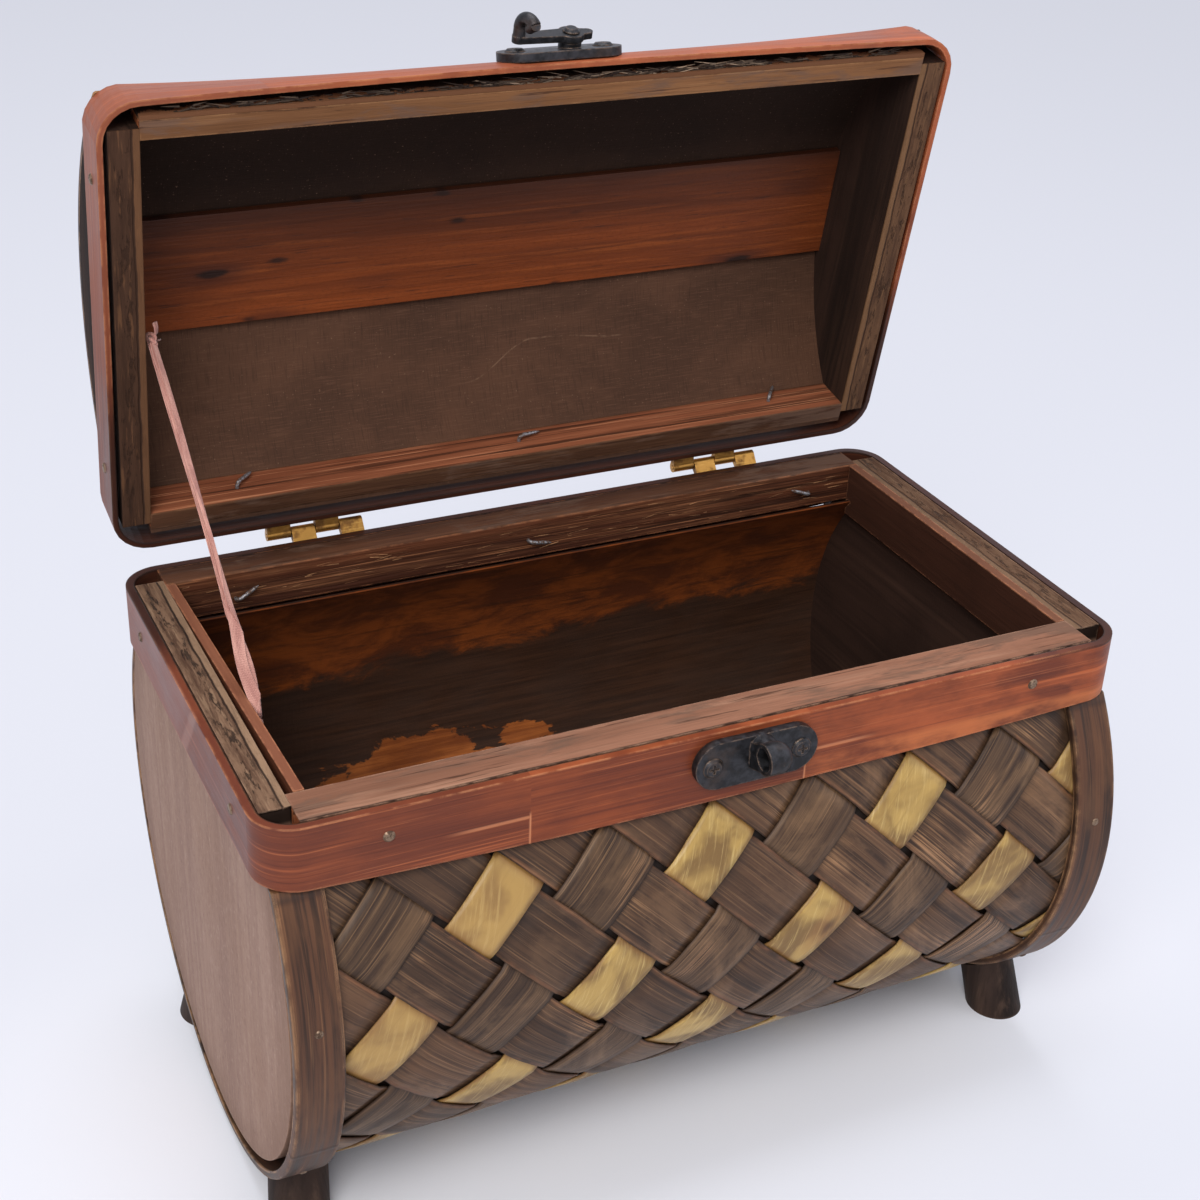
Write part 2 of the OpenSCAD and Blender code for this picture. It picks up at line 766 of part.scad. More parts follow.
module hinge_leaf(side, up) {
    edge_y = up > 0 ? rim_gap + leaf_gap : -leaf_gap;
    first = up > 0 ? 0 : 1;
    difference() {
        translate([hinge_shift + side * hinge_x - hinge_l / 2, box_d / 2, rim_z]) {
            along_x(0, hinge_l)
                translate([0, up > 0 ? edge_y : edge_y - leaf_h]) square([leaf_t, leaf_h]);
            for (k = [first, first + 2])
                along_x(k * knuckle_l + knuckle_slip, (k + 1) * knuckle_l - knuckle_slip)
                    knuckle_section(up);
        }
        hinge_screw_places(up) peg_hole(hinge_screw_r, 2 * leaf_t);
    }
}

module hinge_screw_places(up) {
    edge_y = up > 0 ? rim_gap + leaf_gap : -leaf_gap;
    for (side = [-1, 1], sx = [-1, 1])
        translate([hinge_shift + side * hinge_x + sx * hinge_screw_span / 2, box_d / 2 + leaf_t,
            rim_z + edge_y + up * leaf_h * 0.6])
            rotate([-90, 0, 0]) children();
}

// The lid's leaves are drawn on the shut box, so they are carried open with the lid
module carried_open() {
    in_lid() translate([0, 0, -rim_z - rim_gap]) children();
}

module hinge_leaf_base_left() { color(brass) in_base() hinge_leaf(-1, -1); }
module hinge_leaf_base_right() { color(brass) in_base() hinge_leaf(1, -1); }
module hinge_leaf_lid_left() { color(brass) carried_open() hinge_leaf(-1, 1); }
module hinge_leaf_lid_right() { color(brass) carried_open() hinge_leaf(1, 1); }

module hinge_screws_base() {
    color(brass) in_base() hinge_screw_places(-1)
        peg_with_head(hinge_screw_r, hinge_screw_len, hinge_screw_head_r, hinge_screw_head_h);
}

module hinge_screws_lid() {
    color(brass) carried_open() hinge_screw_places(1)
        peg_with_head(hinge_screw_r, hinge_screw_len, hinge_screw_head_r, hinge_screw_head_h);
}

module hinge_pin(side) {
    color(brass) in_base()
        translate([hinge_shift + side * hinge_x - hinge_l / 2, hinge_y, hinge_z])
            rotate([0, 90, 0]) cylinder(r = hinge_pin_r, h = hinge_l);
}

module hinge_pin_left() { hinge_pin(-1); }
module hinge_pin_right() { hinge_pin(1); }

// ---- lid ----
module lid_end_panel(side) {
    color(ply_brown) in_lid()
        translate([side < 0 ? -panel_out : panel_in, 0, 0])
            along_x(0, panel_t)
                intersection() {
                    translate([0, dome_z]) circle(r = dome_panel_r, $fn = arc_fn / 4);
                    translate([-lid_panel_half, 0]) square([2 * lid_panel_half, dome_h]);
                }
}

module lid_end_panel_left() { lid_end_panel(-1); }
module lid_end_panel_right() { lid_end_panel(1); }

module dome_plan(r, half) {
    intersection() {
        translate([0, dome_z]) circle(r = r, $fn = arc_fn / 4);
        translate([-half, -cut]) square([2 * half, dome_h + cut]);
    }
}

module lid_liner() {
    color(liner_brown) in_lid()
        along_x(-panel_in, panel_in)
            difference() {
                dome_plan(dome_liner_r, skirt_half);
                dome_plan(dome_liner_r - liner_t, skirt_half - liner_t);
                translate([-2 * dome_r, -4 * dome_r]) square(4 * dome_r);
            }
}

module lid_batten(sy, height) {
    color(batten_brown) in_lid()
        along_x(-panel_in, panel_in)
            intersection() {
                translate([0, dome_z])
                    circle(r = dome_liner_r - liner_t - fit, $fn = arc_fn / 4);
                translate([sy > 0 ? lid_batten_out - lid_batten_t : -lid_batten_out, 0])
                    square([lid_batten_t, height]);
            }
}

module lid_batten_front() { lid_batten(-1, lid_batten_front_h); }
module lid_batten_back() { lid_batten(1, lid_batten_back_h); }

module lid_crown_slat() {
    slat_top = dome_z + sqrt(pow(dome_liner_r - liner_t, 2) - pow(slat_w / 2, 2)) - fit;
    color(slat_red) in_lid()
        translate([-panel_in, -slat_w / 2, slat_top - slat_t])
            cube([2 * panel_in, slat_w, slat_t]);
}

// Angle from the crown to the binding's lower end, which is then cut level
dome_edge_a = acos((dome_edge_z - edge_t - dome_z) / dome_r);

module lid_edge_strip(side) {
    color(strip_brown) in_lid()
        difference() {
            translate([0, 0, dome_z])
                bent_slat(side < 0 ? -panel_out : panel_out - edge_w, dome_r,
                    180 - dome_edge_a, 180 + dome_edge_a);
            translate([-box_l, -box_l, dome_edge_z - box_l]) cube([2 * box_l, 2 * box_l, box_l]);
        }
}

module lid_edge_strip_left() { lid_edge_strip(-1); }
module lid_edge_strip_right() { lid_edge_strip(1); }

// The lid's band leans over the dome and bows out at the front, and stands upright elsewhere
function lean_at(x) =
    lid_band_end_lean + (lid_band_lean - lid_band_end_lean) * (1 - pow(abs(x) / (box_l / 2), 3));
function bow_at(x) = lid_front_bow * (1 - pow(x / (box_l / 2 - band_corner_r), 2));

// Plan of the band's foot: [place, outward direction, lean]
corner_x = box_l / 2 - band_corner_r;
corner_y = box_d / 2 - band_corner_r;
front_steps = round(2 * corner_x / band_step_x);
lid_front_y = -box_d / 2 + lid_front_setback;
function corner_place(sx, sy, a, lean) =
    [[sx * corner_x + band_corner_r * cos(a),
      sy * corner_y + band_corner_r * sin(a) + (sy < 0 ? lid_front_setback : 0)],
     [cos(a), sin(a)], lean];
band_plan = [
    for (i = [0:front_steps])
        let (x = -corner_x + 2 * corner_x * i / front_steps)
        [[x, lid_front_y - bow_at(x)], [0, -1], lean_at(x)],
    for (i = [1:corner_steps])
        corner_place(1, -1, -90 + 90 * i / corner_steps, lean_at(corner_x) * (1 - i / corner_steps)),
    for (i = [0:corner_steps]) corner_place(1, 1, 90 * i / corner_steps, 0),
    for (i = [0:corner_steps]) corner_place(-1, 1, 90 + 90 * i / corner_steps, 0),
    for (i = [0:corner_steps - 1])
        corner_place(-1, -1, 180 + 90 * i / corner_steps, lean_at(corner_x) * i / corner_steps)];

// Outline of the bent wall for a lean: outer points up, then inner points down, as [inward, up]
function band_rise(k, lean) =
    k == 0 ? [0, 0] :
    let (step = (band_bend_h[k] - band_bend_h[k - 1]) * lid_band_h,
         a = lean * (band_bend_lean[k - 1] + band_bend_lean[k]) / 2)
    band_rise(k - 1, lean) + step * [sin(a), cos(a)];
function band_section(lean) = [
    for (k = [0:3]) band_rise(k, lean),
    for (k = [3:-1:0])
        let (a = lean * band_bend_lean[k])
        band_rise(k, lean) + lid_band_t * [cos(a), k == 0 ? 0 : -sin(a)]];

module swept_ring(plan, section_n) {
    n = len(plan);
    points = [for (p = plan) for (q = band_section(p[2]))
        [p[0][0] - p[1][0] * q[0], p[0][1] - p[1][1] * q[0], q[1]]];
    faces = [for (i = [0:n - 1]) for (j = [0:section_n - 1])
        let (a = i * section_n + j, b = i * section_n + (j + 1) % section_n,
             c = ((i + 1) % n) * section_n + (j + 1) % section_n, d = ((i + 1) % n) * section_n + j)
        each [[a, b, c], [a, c, d]]];
    polyhedron(points = points, faces = faces);
}

module lid_rim_band() {
    color(band_red) in_lid()
        difference() {
            swept_ring(band_plan, 8);
            lid_nail_places() peg_hole(nail_r, lid_nail_len);
            translate([0, 0, -rim_z - rim_gap])
                hinge_screw_places(1) peg_hole(hinge_screw_r, hinge_screw_len);
        }
}

// ---- latch ----
latch_seat = band_rise(2, lid_band_lean);
latch_seat_y = lid_front_y - lid_front_bow + latch_seat[0];

module latch_frame() {
    in_lid()
        translate([latch_x, latch_seat_y, latch_seat[1]])
            rotate([90 - latch_lean, 0, 0])
                children();
}

// The hook's own frame: its pivot is at the origin, z points away from the box
module pivot_frame() {
    in_lid()
        translate([latch_x + pivot_off, latch_seat_y, latch_seat[1] + plate_t * sin(latch_lean)])
            rotate([90, 0, 0])
                children();
}

module latch_plate() {
    color(bronze) difference() {
        union() {
            latch_frame() stadium_plate();
            pivot_frame() translate([0, 0, boss_start])
                cylinder(r = boss_r, h = arm_back - slip - boss_start);
        }
        latch_frame() plate_screw_holes();
        pivot_frame() translate([0, 0, plate_t / 2]) cylinder(r = rivet_r + fit, h = arm_back);
    }
}

module latch_screws() {
    color(bronze) latch_frame() plate_screws(plate_t);
}

module latch_rivet() {
    head = arm_back + arm_t + slip;
    color(bronze) pivot_frame() {
        translate([0, 0, plate_t / 2 + fit])
            cylinder(r = rivet_r, h = head + rivet_head_h / 2 - plate_t / 2 - fit);
        translate([0, 0, head]) cylinder(r1 = rivet_head_r, r2 = rivet_head_r * 0.6, h = rivet_head_h);
    }
}

// The horn: a stem, a bend and a blunt tip that points down the box when the arm lies level
module horn() {
    weld = 0.4;
    inner_r = horn_r - 0.06;
    translate([0, 0, arm_t / 2])
        cylinder(r1 = arm_w / 2 - 0.1, r2 = inner_r, h = arm_t / 2 + horn_stem + weld);
    translate([0, 0, arm_t + horn_stem]) {
        translate([0, -horn_bend, 0])
            rotate([0, -90, 0])
                rotate([0, 0, 90 - horn_turn])
                    rotate_extrude(angle = horn_turn)
                        translate([horn_bend, 0]) circle(r = horn_r, $fn = round_fn);
        translate([0, -horn_bend + horn_bend * cos(horn_turn), horn_bend * sin(horn_turn)])
            rotate([180 - horn_turn, 0, 0]) {
                translate([0, 0, -horn_tip_len])
                    cylinder(r1 = horn_tip_r - 0.06, r2 = inner_r, h = horn_tip_len + weld);
                translate([0, 0, -horn_tip_len]) sphere(r = horn_tip_r, $fn = round_fn);
            }
    }
}

module latch_hook() {
    color(bronze) pivot_frame()
        translate([0, 0, arm_back])
            difference() {
                union() {
                    cylinder(r = eye_r, h = arm_t);
                    linear_extrude(height = arm_t) {
                        polygon([[0, -eye_r * 0.7], [0, eye_r * 0.7],
                            [-horn_a, arm_w * 0.48], [-horn_a, -arm_w * 0.48]]);
                        polygon([[0, -eye_r * 0.7], [0, eye_r * 0.7],
                            [tail_len, tail_r * 0.96], [tail_len, -tail_r * 0.96]]);
                        translate([-horn_a, 0]) circle(r = arm_w / 2);
                        translate([tail_len, 0]) circle(r = tail_r);
                    }
                    translate([-horn_a, 0, 0]) rotate([0, 0, horn_yaw]) horn();
                }
                translate([0, 0, -cut]) cylinder(r = rivet_r + pin_play, h = arm_t + 2 * cut);
            }
}

// ---- ribbon stay ----
ribbon_x = -panel_in + side_strip_t + side_strip_spring * 0.65 + ribbon_off;
ribbon_low = [ribbon_x, ribbon_base_y, rim_z - ribbon_base_drop];
lid_tie_dy = ribbon_lid_y - hinge_y;
lid_tie_dz = rim_z + rim_gap + ribbon_lid_z - hinge_z;
ribbon_high = [-panel_in + knot_r,
    hinge_y + lid_tie_dy * cos(lid_open) + lid_tie_dz * sin(lid_open),
    hinge_z - lid_tie_dy * sin(lid_open) + lid_tie_dz * cos(lid_open)];
ribbon_run = ribbon_high - ribbon_low;
ribbon_free = norm(ribbon_run) - knot_r;

module along_ribbon() {
    in_base() translate(ribbon_low)
        rotate([-atan2(ribbon_run[1], ribbon_run[2]), 0, 0])
            rotate([0, atan2(ribbon_run[0], norm([ribbon_run[1], ribbon_run[2]])), 0])
                children();
}

module stay_ribbon() {
    color(ribbon_pink) along_ribbon()
        translate([-ribbon_t / 2, -ribbon_w / 2, knot_r])
            cube([ribbon_t, ribbon_w, ribbon_free - knot_r]);
}

// The lower end is turned under and held by a tack in the side strip
module ribbon_tack() {
    color(ribbon_pink) along_ribbon()
        translate([-ribbon_t / 2, -ribbon_w / 2, -knot_r])
            cube([ribbon_t, ribbon_w, 2 * knot_r]);
}

module ribbon_knot() {
    color(ribbon_pink) in_lid()
        translate([-panel_in + knot_r, ribbon_lid_y, ribbon_lid_z])
            sphere(r = knot_r, $fn = round_fn);
}

base_end_panel_left();
base_end_panel_right();
base_liner();
base_batten_front();
base_batten_back();
base_side_strip_left();
base_side_strip_right();
base_weave_gold();
base_weave_dark();
base_weave_falling();
base_edge_strip_left();
base_edge_strip_right();
base_rim_band();
base_band_nails();
foot_front_left();
foot_front_right();
foot_back_left();
foot_back_right();
keeper_plate();
keeper_screws();
hinge_leaf_base_left();
hinge_leaf_base_right();
hinge_pin_left();
hinge_pin_right();
hinge_screws_base();
lid_end_panel_left();
lid_end_panel_right();
lid_liner();
lid_batten_front();
lid_batten_back();
lid_crown_slat();
lid_weave_gold();
lid_weave_dark();
lid_weave_falling();
lid_edge_strip_left();
lid_edge_strip_right();
lid_rim_band();
lid_band_nails();
latch_plate();
latch_screws();
latch_rivet();
latch_hook();
hinge_leaf_lid_left();
hinge_leaf_lid_right();
hinge_screws_lid();
stay_ribbon();
ribbon_tack();
ribbon_knot();
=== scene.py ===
"""Looks of a woven ditty box: its finishes, its woven skin, its ribbon and its small fasteners."""
import json
import math

import bmesh
import bpy
from bpy.props import FloatProperty, FloatVectorProperty, IntProperty, PointerProperty
from mathutils import Matrix, Vector


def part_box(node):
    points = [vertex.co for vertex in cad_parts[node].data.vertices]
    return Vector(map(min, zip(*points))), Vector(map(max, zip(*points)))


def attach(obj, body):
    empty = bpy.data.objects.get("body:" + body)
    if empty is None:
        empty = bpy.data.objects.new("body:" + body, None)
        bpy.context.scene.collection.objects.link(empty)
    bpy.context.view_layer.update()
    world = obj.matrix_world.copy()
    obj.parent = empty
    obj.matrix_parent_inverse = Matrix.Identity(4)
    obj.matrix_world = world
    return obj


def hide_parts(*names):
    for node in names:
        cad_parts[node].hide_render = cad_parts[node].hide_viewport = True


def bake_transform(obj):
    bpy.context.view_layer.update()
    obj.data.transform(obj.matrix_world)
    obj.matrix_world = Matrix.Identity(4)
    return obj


bl_info = {
    "name": "Ditty Box",
    "version": (1, 1, 0),
    "blender": (4, 5, 0),
    "location": "View3D > Sidebar > Ditty Box",
    "description": "Weaves, finishes and lights a barrel-bodied ditty box around its solid frame",
    "category": "Object",
}

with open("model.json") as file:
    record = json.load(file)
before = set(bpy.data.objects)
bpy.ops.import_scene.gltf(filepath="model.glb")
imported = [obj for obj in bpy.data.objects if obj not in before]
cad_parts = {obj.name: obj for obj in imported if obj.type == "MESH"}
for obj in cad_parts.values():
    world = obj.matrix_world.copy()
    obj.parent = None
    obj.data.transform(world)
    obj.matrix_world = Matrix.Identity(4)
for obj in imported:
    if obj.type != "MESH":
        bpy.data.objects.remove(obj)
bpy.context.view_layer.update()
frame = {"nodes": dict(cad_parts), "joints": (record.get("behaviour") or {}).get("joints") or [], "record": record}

MM = 0.001
ROOT2 = math.sqrt(2)

# ---- places that the frame gives ----
band_low, band_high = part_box("base_rim_band")
RIM_Z = band_high[2]
MIDDLE_Y = (band_low[1] + band_high[1]) / 2
LID_HINGE = next(j for j in frame["joints"] if j["name"] == "lid_hinge")
LID_OPEN = math.radians(max(LID_HINGE["range_deg"]))
HINGE_Y, HINGE_Z = LID_HINGE["pos_m"][1:]
RIM_GAP = 0.4 * MM

# The body's frame has z = 0 at its rim. The lid's has z = 0 at its mouth and z upwards when shut.
BASE_FRAME = Matrix.Translation((0, MIDDLE_Y, RIM_Z))
LID_FRAME = (
    Matrix.Translation((0, HINGE_Y, HINGE_Z))
    @ Matrix.Rotation(-LID_OPEN, 4, "X")
    @ Matrix.Translation((0, MIDDLE_Y - HINGE_Y, RIM_Z + RIM_GAP - HINGE_Z))
)
FRAMES = {"base": BASE_FRAME, "lid": LID_FRAME}


def box_in(node, body):
    """A node's lowest and highest corners in its body's own frame."""
    back = FRAMES[body].inverted()
    points = [back @ vertex.co for vertex in frame["nodes"][node].data.vertices]
    return (Vector([min(p[i] for p in points) for i in range(3)]),
            Vector([max(p[i] for p in points) for i in range(3)]))


strip_low, strip_high = box_in("base_edge_strip_left", "base")
panel_low, panel_high = box_in("base_end_panel_right", "base")
BARREL_R = (strip_high.y - strip_low.y) / 2
BARREL_Z = strip_low.z + BARREL_R
EDGE_X = (strip_low.x + strip_high.x) / 2
PANEL_IN, PANEL_T = panel_low.x, panel_high.x - panel_low.x
DOME_R = 98 * MM
DOME_Z = -53 * MM
WEAVE_UNDER = 3.845 * MM               # from the edge strips' face in to the middle of the weave
WEAVE_HALF_X = 123.3 * MM
WEAVE_LIFT = 0.53 * MM                 # how far a strip lies over or under the weave's middle
WEAVE_STEP = 2.1 * MM                  # from one row of a strip's points to the next
BASE_SKIN_TOP = 49.5 * MM              # from the barrel's axis up to the skin's ends
LID_SKIN_END = 69.8 * MM               # from the dome's axis up to the skin's ends
BASE_LAPS = (-61.4 * MM, -1), (23.6 * MM, 1)     # where the bands lap, and to which side
LID_LAPS = ((-88 * MM, 1),)
CORNER_X, CORNER_Y = 123 * MM, 63 * MM           # middles of the bands' round corners


def linear(red, green, blue):
    """A colour given in 0 to 255, as the shaders want it."""
    def channel(value):
        value /= 255
        return value / 12.92 if value <= 0.04045 else ((value + 0.055) / 1.055) ** 2.4
    return (channel(red), channel(green), channel(blue), 1.0)


# ---- sizes and colours that a user may change ----
def length(name, description, millimetres):
    return FloatProperty(name=name, description=description, default=millimetres * MM,
                         unit="LENGTH")


def tone(name, description, *rgb):
    return FloatVectorProperty(name=name, description=description, subtype="COLOR", size=4,
                               min=0, max=1, default=linear(*rgb))


class DittySizes(bpy.types.PropertyGroup):
    """Sizes of the woven skin, the ribbon and the fasteners."""

    strip_pitch: length("Strip pitch", "From one strip to the next of the same direction", 23.2)
    gold_width: length("Gold strip width", "Width of a gold strip", 16.8)
    dark_width: length("Dark strip width", "Width of a dark strip that rises to the right", 20)
    falling_width: length("Falling strip width", "Width of a strip that falls to the right", 21.4)
    strip_thickness: length("Strip thickness", "Thickness of a strip", 0.6)
    strip_crown: length("Strip crown", "How far a strip bulges where it goes over another", 0.5)
    ribbon_width: length("Ribbon width", "Width of the ribbon laid flat", 10.5)
    nail_head: length("Nail head", "Radius of the nail heads on the edge strips", 1.3)
    splinters: IntProperty(
        name="Splinters", description="How many splinters stand up on the rough back batten",
        default=170, min=0, max=2000)


class DittyColours(bpy.types.PropertyGroup):
    """Main colours of the box."""

    gold: tone("Gold strips", "Dyed gold strips of the weave", 178, 146, 84)
    dark: tone("Dark strips", "Brown strips of the weave", 86, 64, 46)
    lacquer: tone("Rim bands", "Red-brown lacquer of the rim bands", 130, 64, 36)
    ribbon: tone("Ribbon", "Dusty pink ribbon", 206, 152, 138)


def sizes():
    return bpy.context.scene.ditty_sizes


def colours():
    return bpy.context.scene.ditty_colours


# ---- wiring of node trees ----
class Value:
    """A node's output. Each sum or product with it adds a math node."""

    def __init__(self, wiring, socket):
        self.wiring = wiring
        self.socket = socket

    def __abs__(self):
        return self.wiring.math("ABSOLUTE", self)


def acting(operation, turned=False):
    """A method of Value that adds a math node, with the value first or, turned, second."""
    def act(value, other):
        return value.wiring.math(operation, *((other, value) if turned else (value, other)))
    return act


for method, operation in (("add", "ADD"), ("sub", "SUBTRACT"), ("mul", "MULTIPLY"),
                          ("truediv", "DIVIDE")):
    setattr(Value, f"__{method}__", acting(operation))
    setattr(Value, f"__r{method}__", acting(operation, turned=True))


class Wiring:
    """Adds nodes to a tree. What feeds a node is a number, a colour, a vector or a Value.
    A colour of three numbers is in 0 to 255."""

    def __init__(self, tree):
        self.tree = tree

    def feed(self, socket, value):
        if isinstance(value, Value):
            self.tree.links.new(value.socket, socket)
        elif value is not None:
            if socket.type == "RGBA" and len(value) == 3:
                value = linear(*value)
            socket.default_value = value

    def outputs(self, kind, feeds=None, **settings):
        """Adds a node and gives all its outputs, by name or number."""
        node = self.tree.nodes.new(kind)
        for key, value in settings.items():
            setattr(node, key, value)
        for key, value in (feeds or {}).items():
            self.feed(node.inputs[key], value)
        by_name = {socket.name: Value(self, socket) for socket in node.outputs}
        return by_name | dict(enumerate(Value(self, socket) for socket in node.outputs))

    def add(self, kind, feeds=None, out=0, **settings):
        """Adds a node and gives one of its outputs, if it has any."""
        return self.outputs(kind, feeds, **settings).get(out)

    def math(self, operation, *values):
        return self.add("ShaderNodeMath", dict(enumerate(values)), operation=operation)

    def most(self, a, b):
        return self.math("MAXIMUM", a, b)

    def clip(self, value, low, high):
        return self.math("MINIMUM", self.most(value, low), high)

    def hypotenuse(self, a, b):
        return self.math("SQRT", a * a + b * b)

    def vector(self, x=0.0, y=0.0, z=0.0):
        return self.add("ShaderNodeCombineXYZ", {0: x, 1: y, 2: z})

    def split(self, vector):
        parts = self.outputs("ShaderNodeSeparateXYZ", {0: vector})
        return parts[0], parts[1], parts[2]

    def keep(self, geometry, name, value, kind="FLOAT", domain="POINT"):
        """Stores a value on the geometry under a name."""
        return self.add("GeometryNodeStoreNamedAttribute",
                        {"Geometry": geometry, "Name": name, "Value": value},
                        data_type=kind, domain=domain)


class Finish(Wiring):
    """A material in the making."""

    def __init__(self, name):
        self.material = bpy.data.materials.new(name)
        self.material.use_nodes = True
        super().__init__(self.material.node_tree)
        self.tree.nodes.clear()

    def place(self, body="base"):
        """Where a point of the solid is in its body's own frame."""
        back = FRAMES[body].inverted()
        raw = self.add("ShaderNodeTexCoord", out="Object")
        return self.turned(raw, turn=back.to_euler(), shift=back.to_translation())

    def strip_place(self):
        """The place along and across a strip, from its own map."""
        return self.split(self.add("ShaderNodeUVMap", uv_map="UVMap"))[:2]

    def attribute(self, name):
        return self.add("ShaderNodeAttribute", attribute_name=name, out="Fac")

    def turned(self, vector, scale=(1, 1, 1), turn=(0, 0, 0), shift=(0, 0, 0)):
        return self.add("ShaderNodeMapping", {"Vector": vector, "Location": shift,
                                              "Rotation": turn, "Scale": scale})

    def cloud(self, vector, scale=(1, 1, 1), detail=4.0, roughness=0.6, twist=0.0):
        """Noise whose scale along each axis is its own."""
        return self.add("ShaderNodeTexNoise", {
            "Vector": self.turned(vector, scale), "Scale": 1.0, "Detail": detail,
            "Roughness": roughness, "Distortion": twist})

    def shade_of(self, strip, factor, y, z):
        """Noise that gives each strip one value of its own."""
        return self.cloud(self.vector(strip * factor, y, z), (1, 1, 1), 2, 0.5)

    def cells(self, vector, scale):
        return self.add("ShaderNodeTexVoronoi", {"Vector": self.turned(vector, scale),
                                                 "Scale": 1.0}, out="Distance")

    def ease(self, value, low, high, to_low=0.0, to_high=1.0):
        """A smooth step from one result to the other while the value goes from low to high."""
        return self.add("ShaderNodeMapRange", {"Value": value, "From Min": low, "From Max": high,
                                               "To Min": to_low, "To Max": to_high},
                        interpolation_type="SMOOTHSTEP")

    def blend(self, amount, under, upper):
        return self.add("ShaderNodeMix", {0: amount, 6: under, 7: upper}, out=2,
                        data_type="RGBA", clamp_factor=True)

    def layers(self, colour, *coats):
        """Lays coats over a colour. A coat is an amount and a tone, or an amount, a share and
        a tone, or a value, the limits it is eased between, a share and a tone."""
        for *given, tone_of_coat in coats:
            amount = self.ease(*given[:3]) if len(given) == 4 else given[0]
            if len(given) > 1:
                amount = amount * given[-1]
            colour = self.blend(amount, colour, tone_of_coat)
        return colour

    def worn_edge(self, radius):
        """1 on the edges of a piece, 0 on its faces."""
        rounded = self.soft_normal(radius)
        flat = self.add("ShaderNodeNewGeometry", out="Normal")
        alike = self.add("ShaderNodeVectorMath", {0: rounded, 1: flat}, out="Value",
                         operation="DOT_PRODUCT")
        still_flat, quite_round = 0.995, 0.86
        return self.ease(alike, still_flat, quite_round)

    def soft_normal(self, radius):
        """The normal, as if the edges had this radius."""
        return self.add("ShaderNodeBevel", {"Radius": radius}, samples=4)

    def wear(self, colour, place, radius, pale, amount=0.8, grit=200):
        """Rubs the edges of a piece through to a paler colour, in chips."""
        chips = self.ease(self.cloud(place, (grit, grit, grit), 3), 0.36, 0.6)
        return self.blend(self.worn_edge(radius) * chips * amount, colour, pale)

    def timber(self, place, axis, tones, fine=1.0):
        """Straight grain along one axis, in a dark, a middle and a light tone.
        Gives its colour and its relief."""
        dark, body, light = tones
        scale = [150.0 * fine] * 3
        scale["XYZ".index(axis)] = 6.0 * fine
        vein = self.cloud(place, [0.22 * s for s in scale], 5, 0.6, 0.5)
        grain = self.cloud(place, scale, 5, 0.65, 0.3)
        hair = self.cloud(place, [4.5 * s for s in scale], 3)
        patch = self.cloud(place, (26, 26, 26), 4)
        colour = self.layers(
            dark,
            (self.ease(vein, 0.36, 0.64), body),
            (grain, 0.5, 0.72, 0.55, light),
            (hair, 0.52, 0.72, 0.45, dark),
            (patch, 0.5, 0.75, 0.45, dark))
        return colour, grain * 0.6 + hair * 0.5

    def ply_edge(self, place, tones):
        """The sawn edge of an end panel: an inner veneer, a dark glue line and a torn core."""
        dark, body, light = tones
        depth = (abs(self.split(place)[0]) - PANEL_IN) / PANEL_T
        drift = (self.cloud(place, (70, 70, 70), 3) - 0.5) * 0.16
        ply = depth + drift
        lumps = self.cloud(place, (420, 40, 150), 6, 0.72)
        torn = self.ease(self.cloud(place, (420, 90, 300), 6, 0.75), 0.53, 0.6)
        core = self.ease(abs(ply - 0.6), 0.36, 0.12)
        glue = self.ease(abs(ply - 0.26), 0.05, 0.01)
        veneer = self.ease(ply, 0.25, 0.2)
        flecks = self.ease(self.cloud(place, (900, 70, 600), 4), 0.54, 0.68)
        pit = self.most(torn * (core * 0.8 + 0.15), glue)
        colour = self.layers(
            dark,
            (self.ease(lumps, 0.36, 0.62), body),
            (flecks, 0.5, light),
            (veneer, 0.6, light),
            (pit, 0.85, (30, 21, 17)))
        return colour, lumps - pit

    def bump(self, height, distance, strength=1.0, soft=None):
        """A normal raised by a height, over edges rounded by a radius if one is given."""
        return self.add("ShaderNodeBump", {
            "Height": height, "Distance": distance, "Strength": strength,
            "Normal": self.soft_normal(soft) if soft else None})

    def surface(self, colour, roughness, normal=None, specular=0.12, **more):
        shader = self.add("ShaderNodeBsdfPrincipled", {
            "Base Color": colour, "Roughness": roughness, "Normal": normal,
            "Specular IOR Level": specular,
            **{key.replace("_", " "): value for key, value in more.items()}})
        return self.shown(shader)

    def shown(self, shader):
        """Ends the material in this shader."""
        self.add("ShaderNodeOutputMaterial", {"Surface": shader}, is_active_output=True)
        return self.material


# ---- finishes ----
def plain_timber(name, body, axis, tones, fine=1.0, relief=0.4 * MM, rough=0.72, pale=None):
    """Stained wood of one tone, with worn edges."""
    f = Finish(name)
    place = f.place(body)
    colour, height = f.timber(place, axis, tones, fine)
    colour = f.wear(colour, place, 1.1 * MM, pale or tones[2])
    normal = f.bump(height, relief, 0.8, soft=0.5 * MM)
    return f.surface(colour, f.ease(height, 0.3, 0.8, rough - 0.1, rough + 0.1), normal)


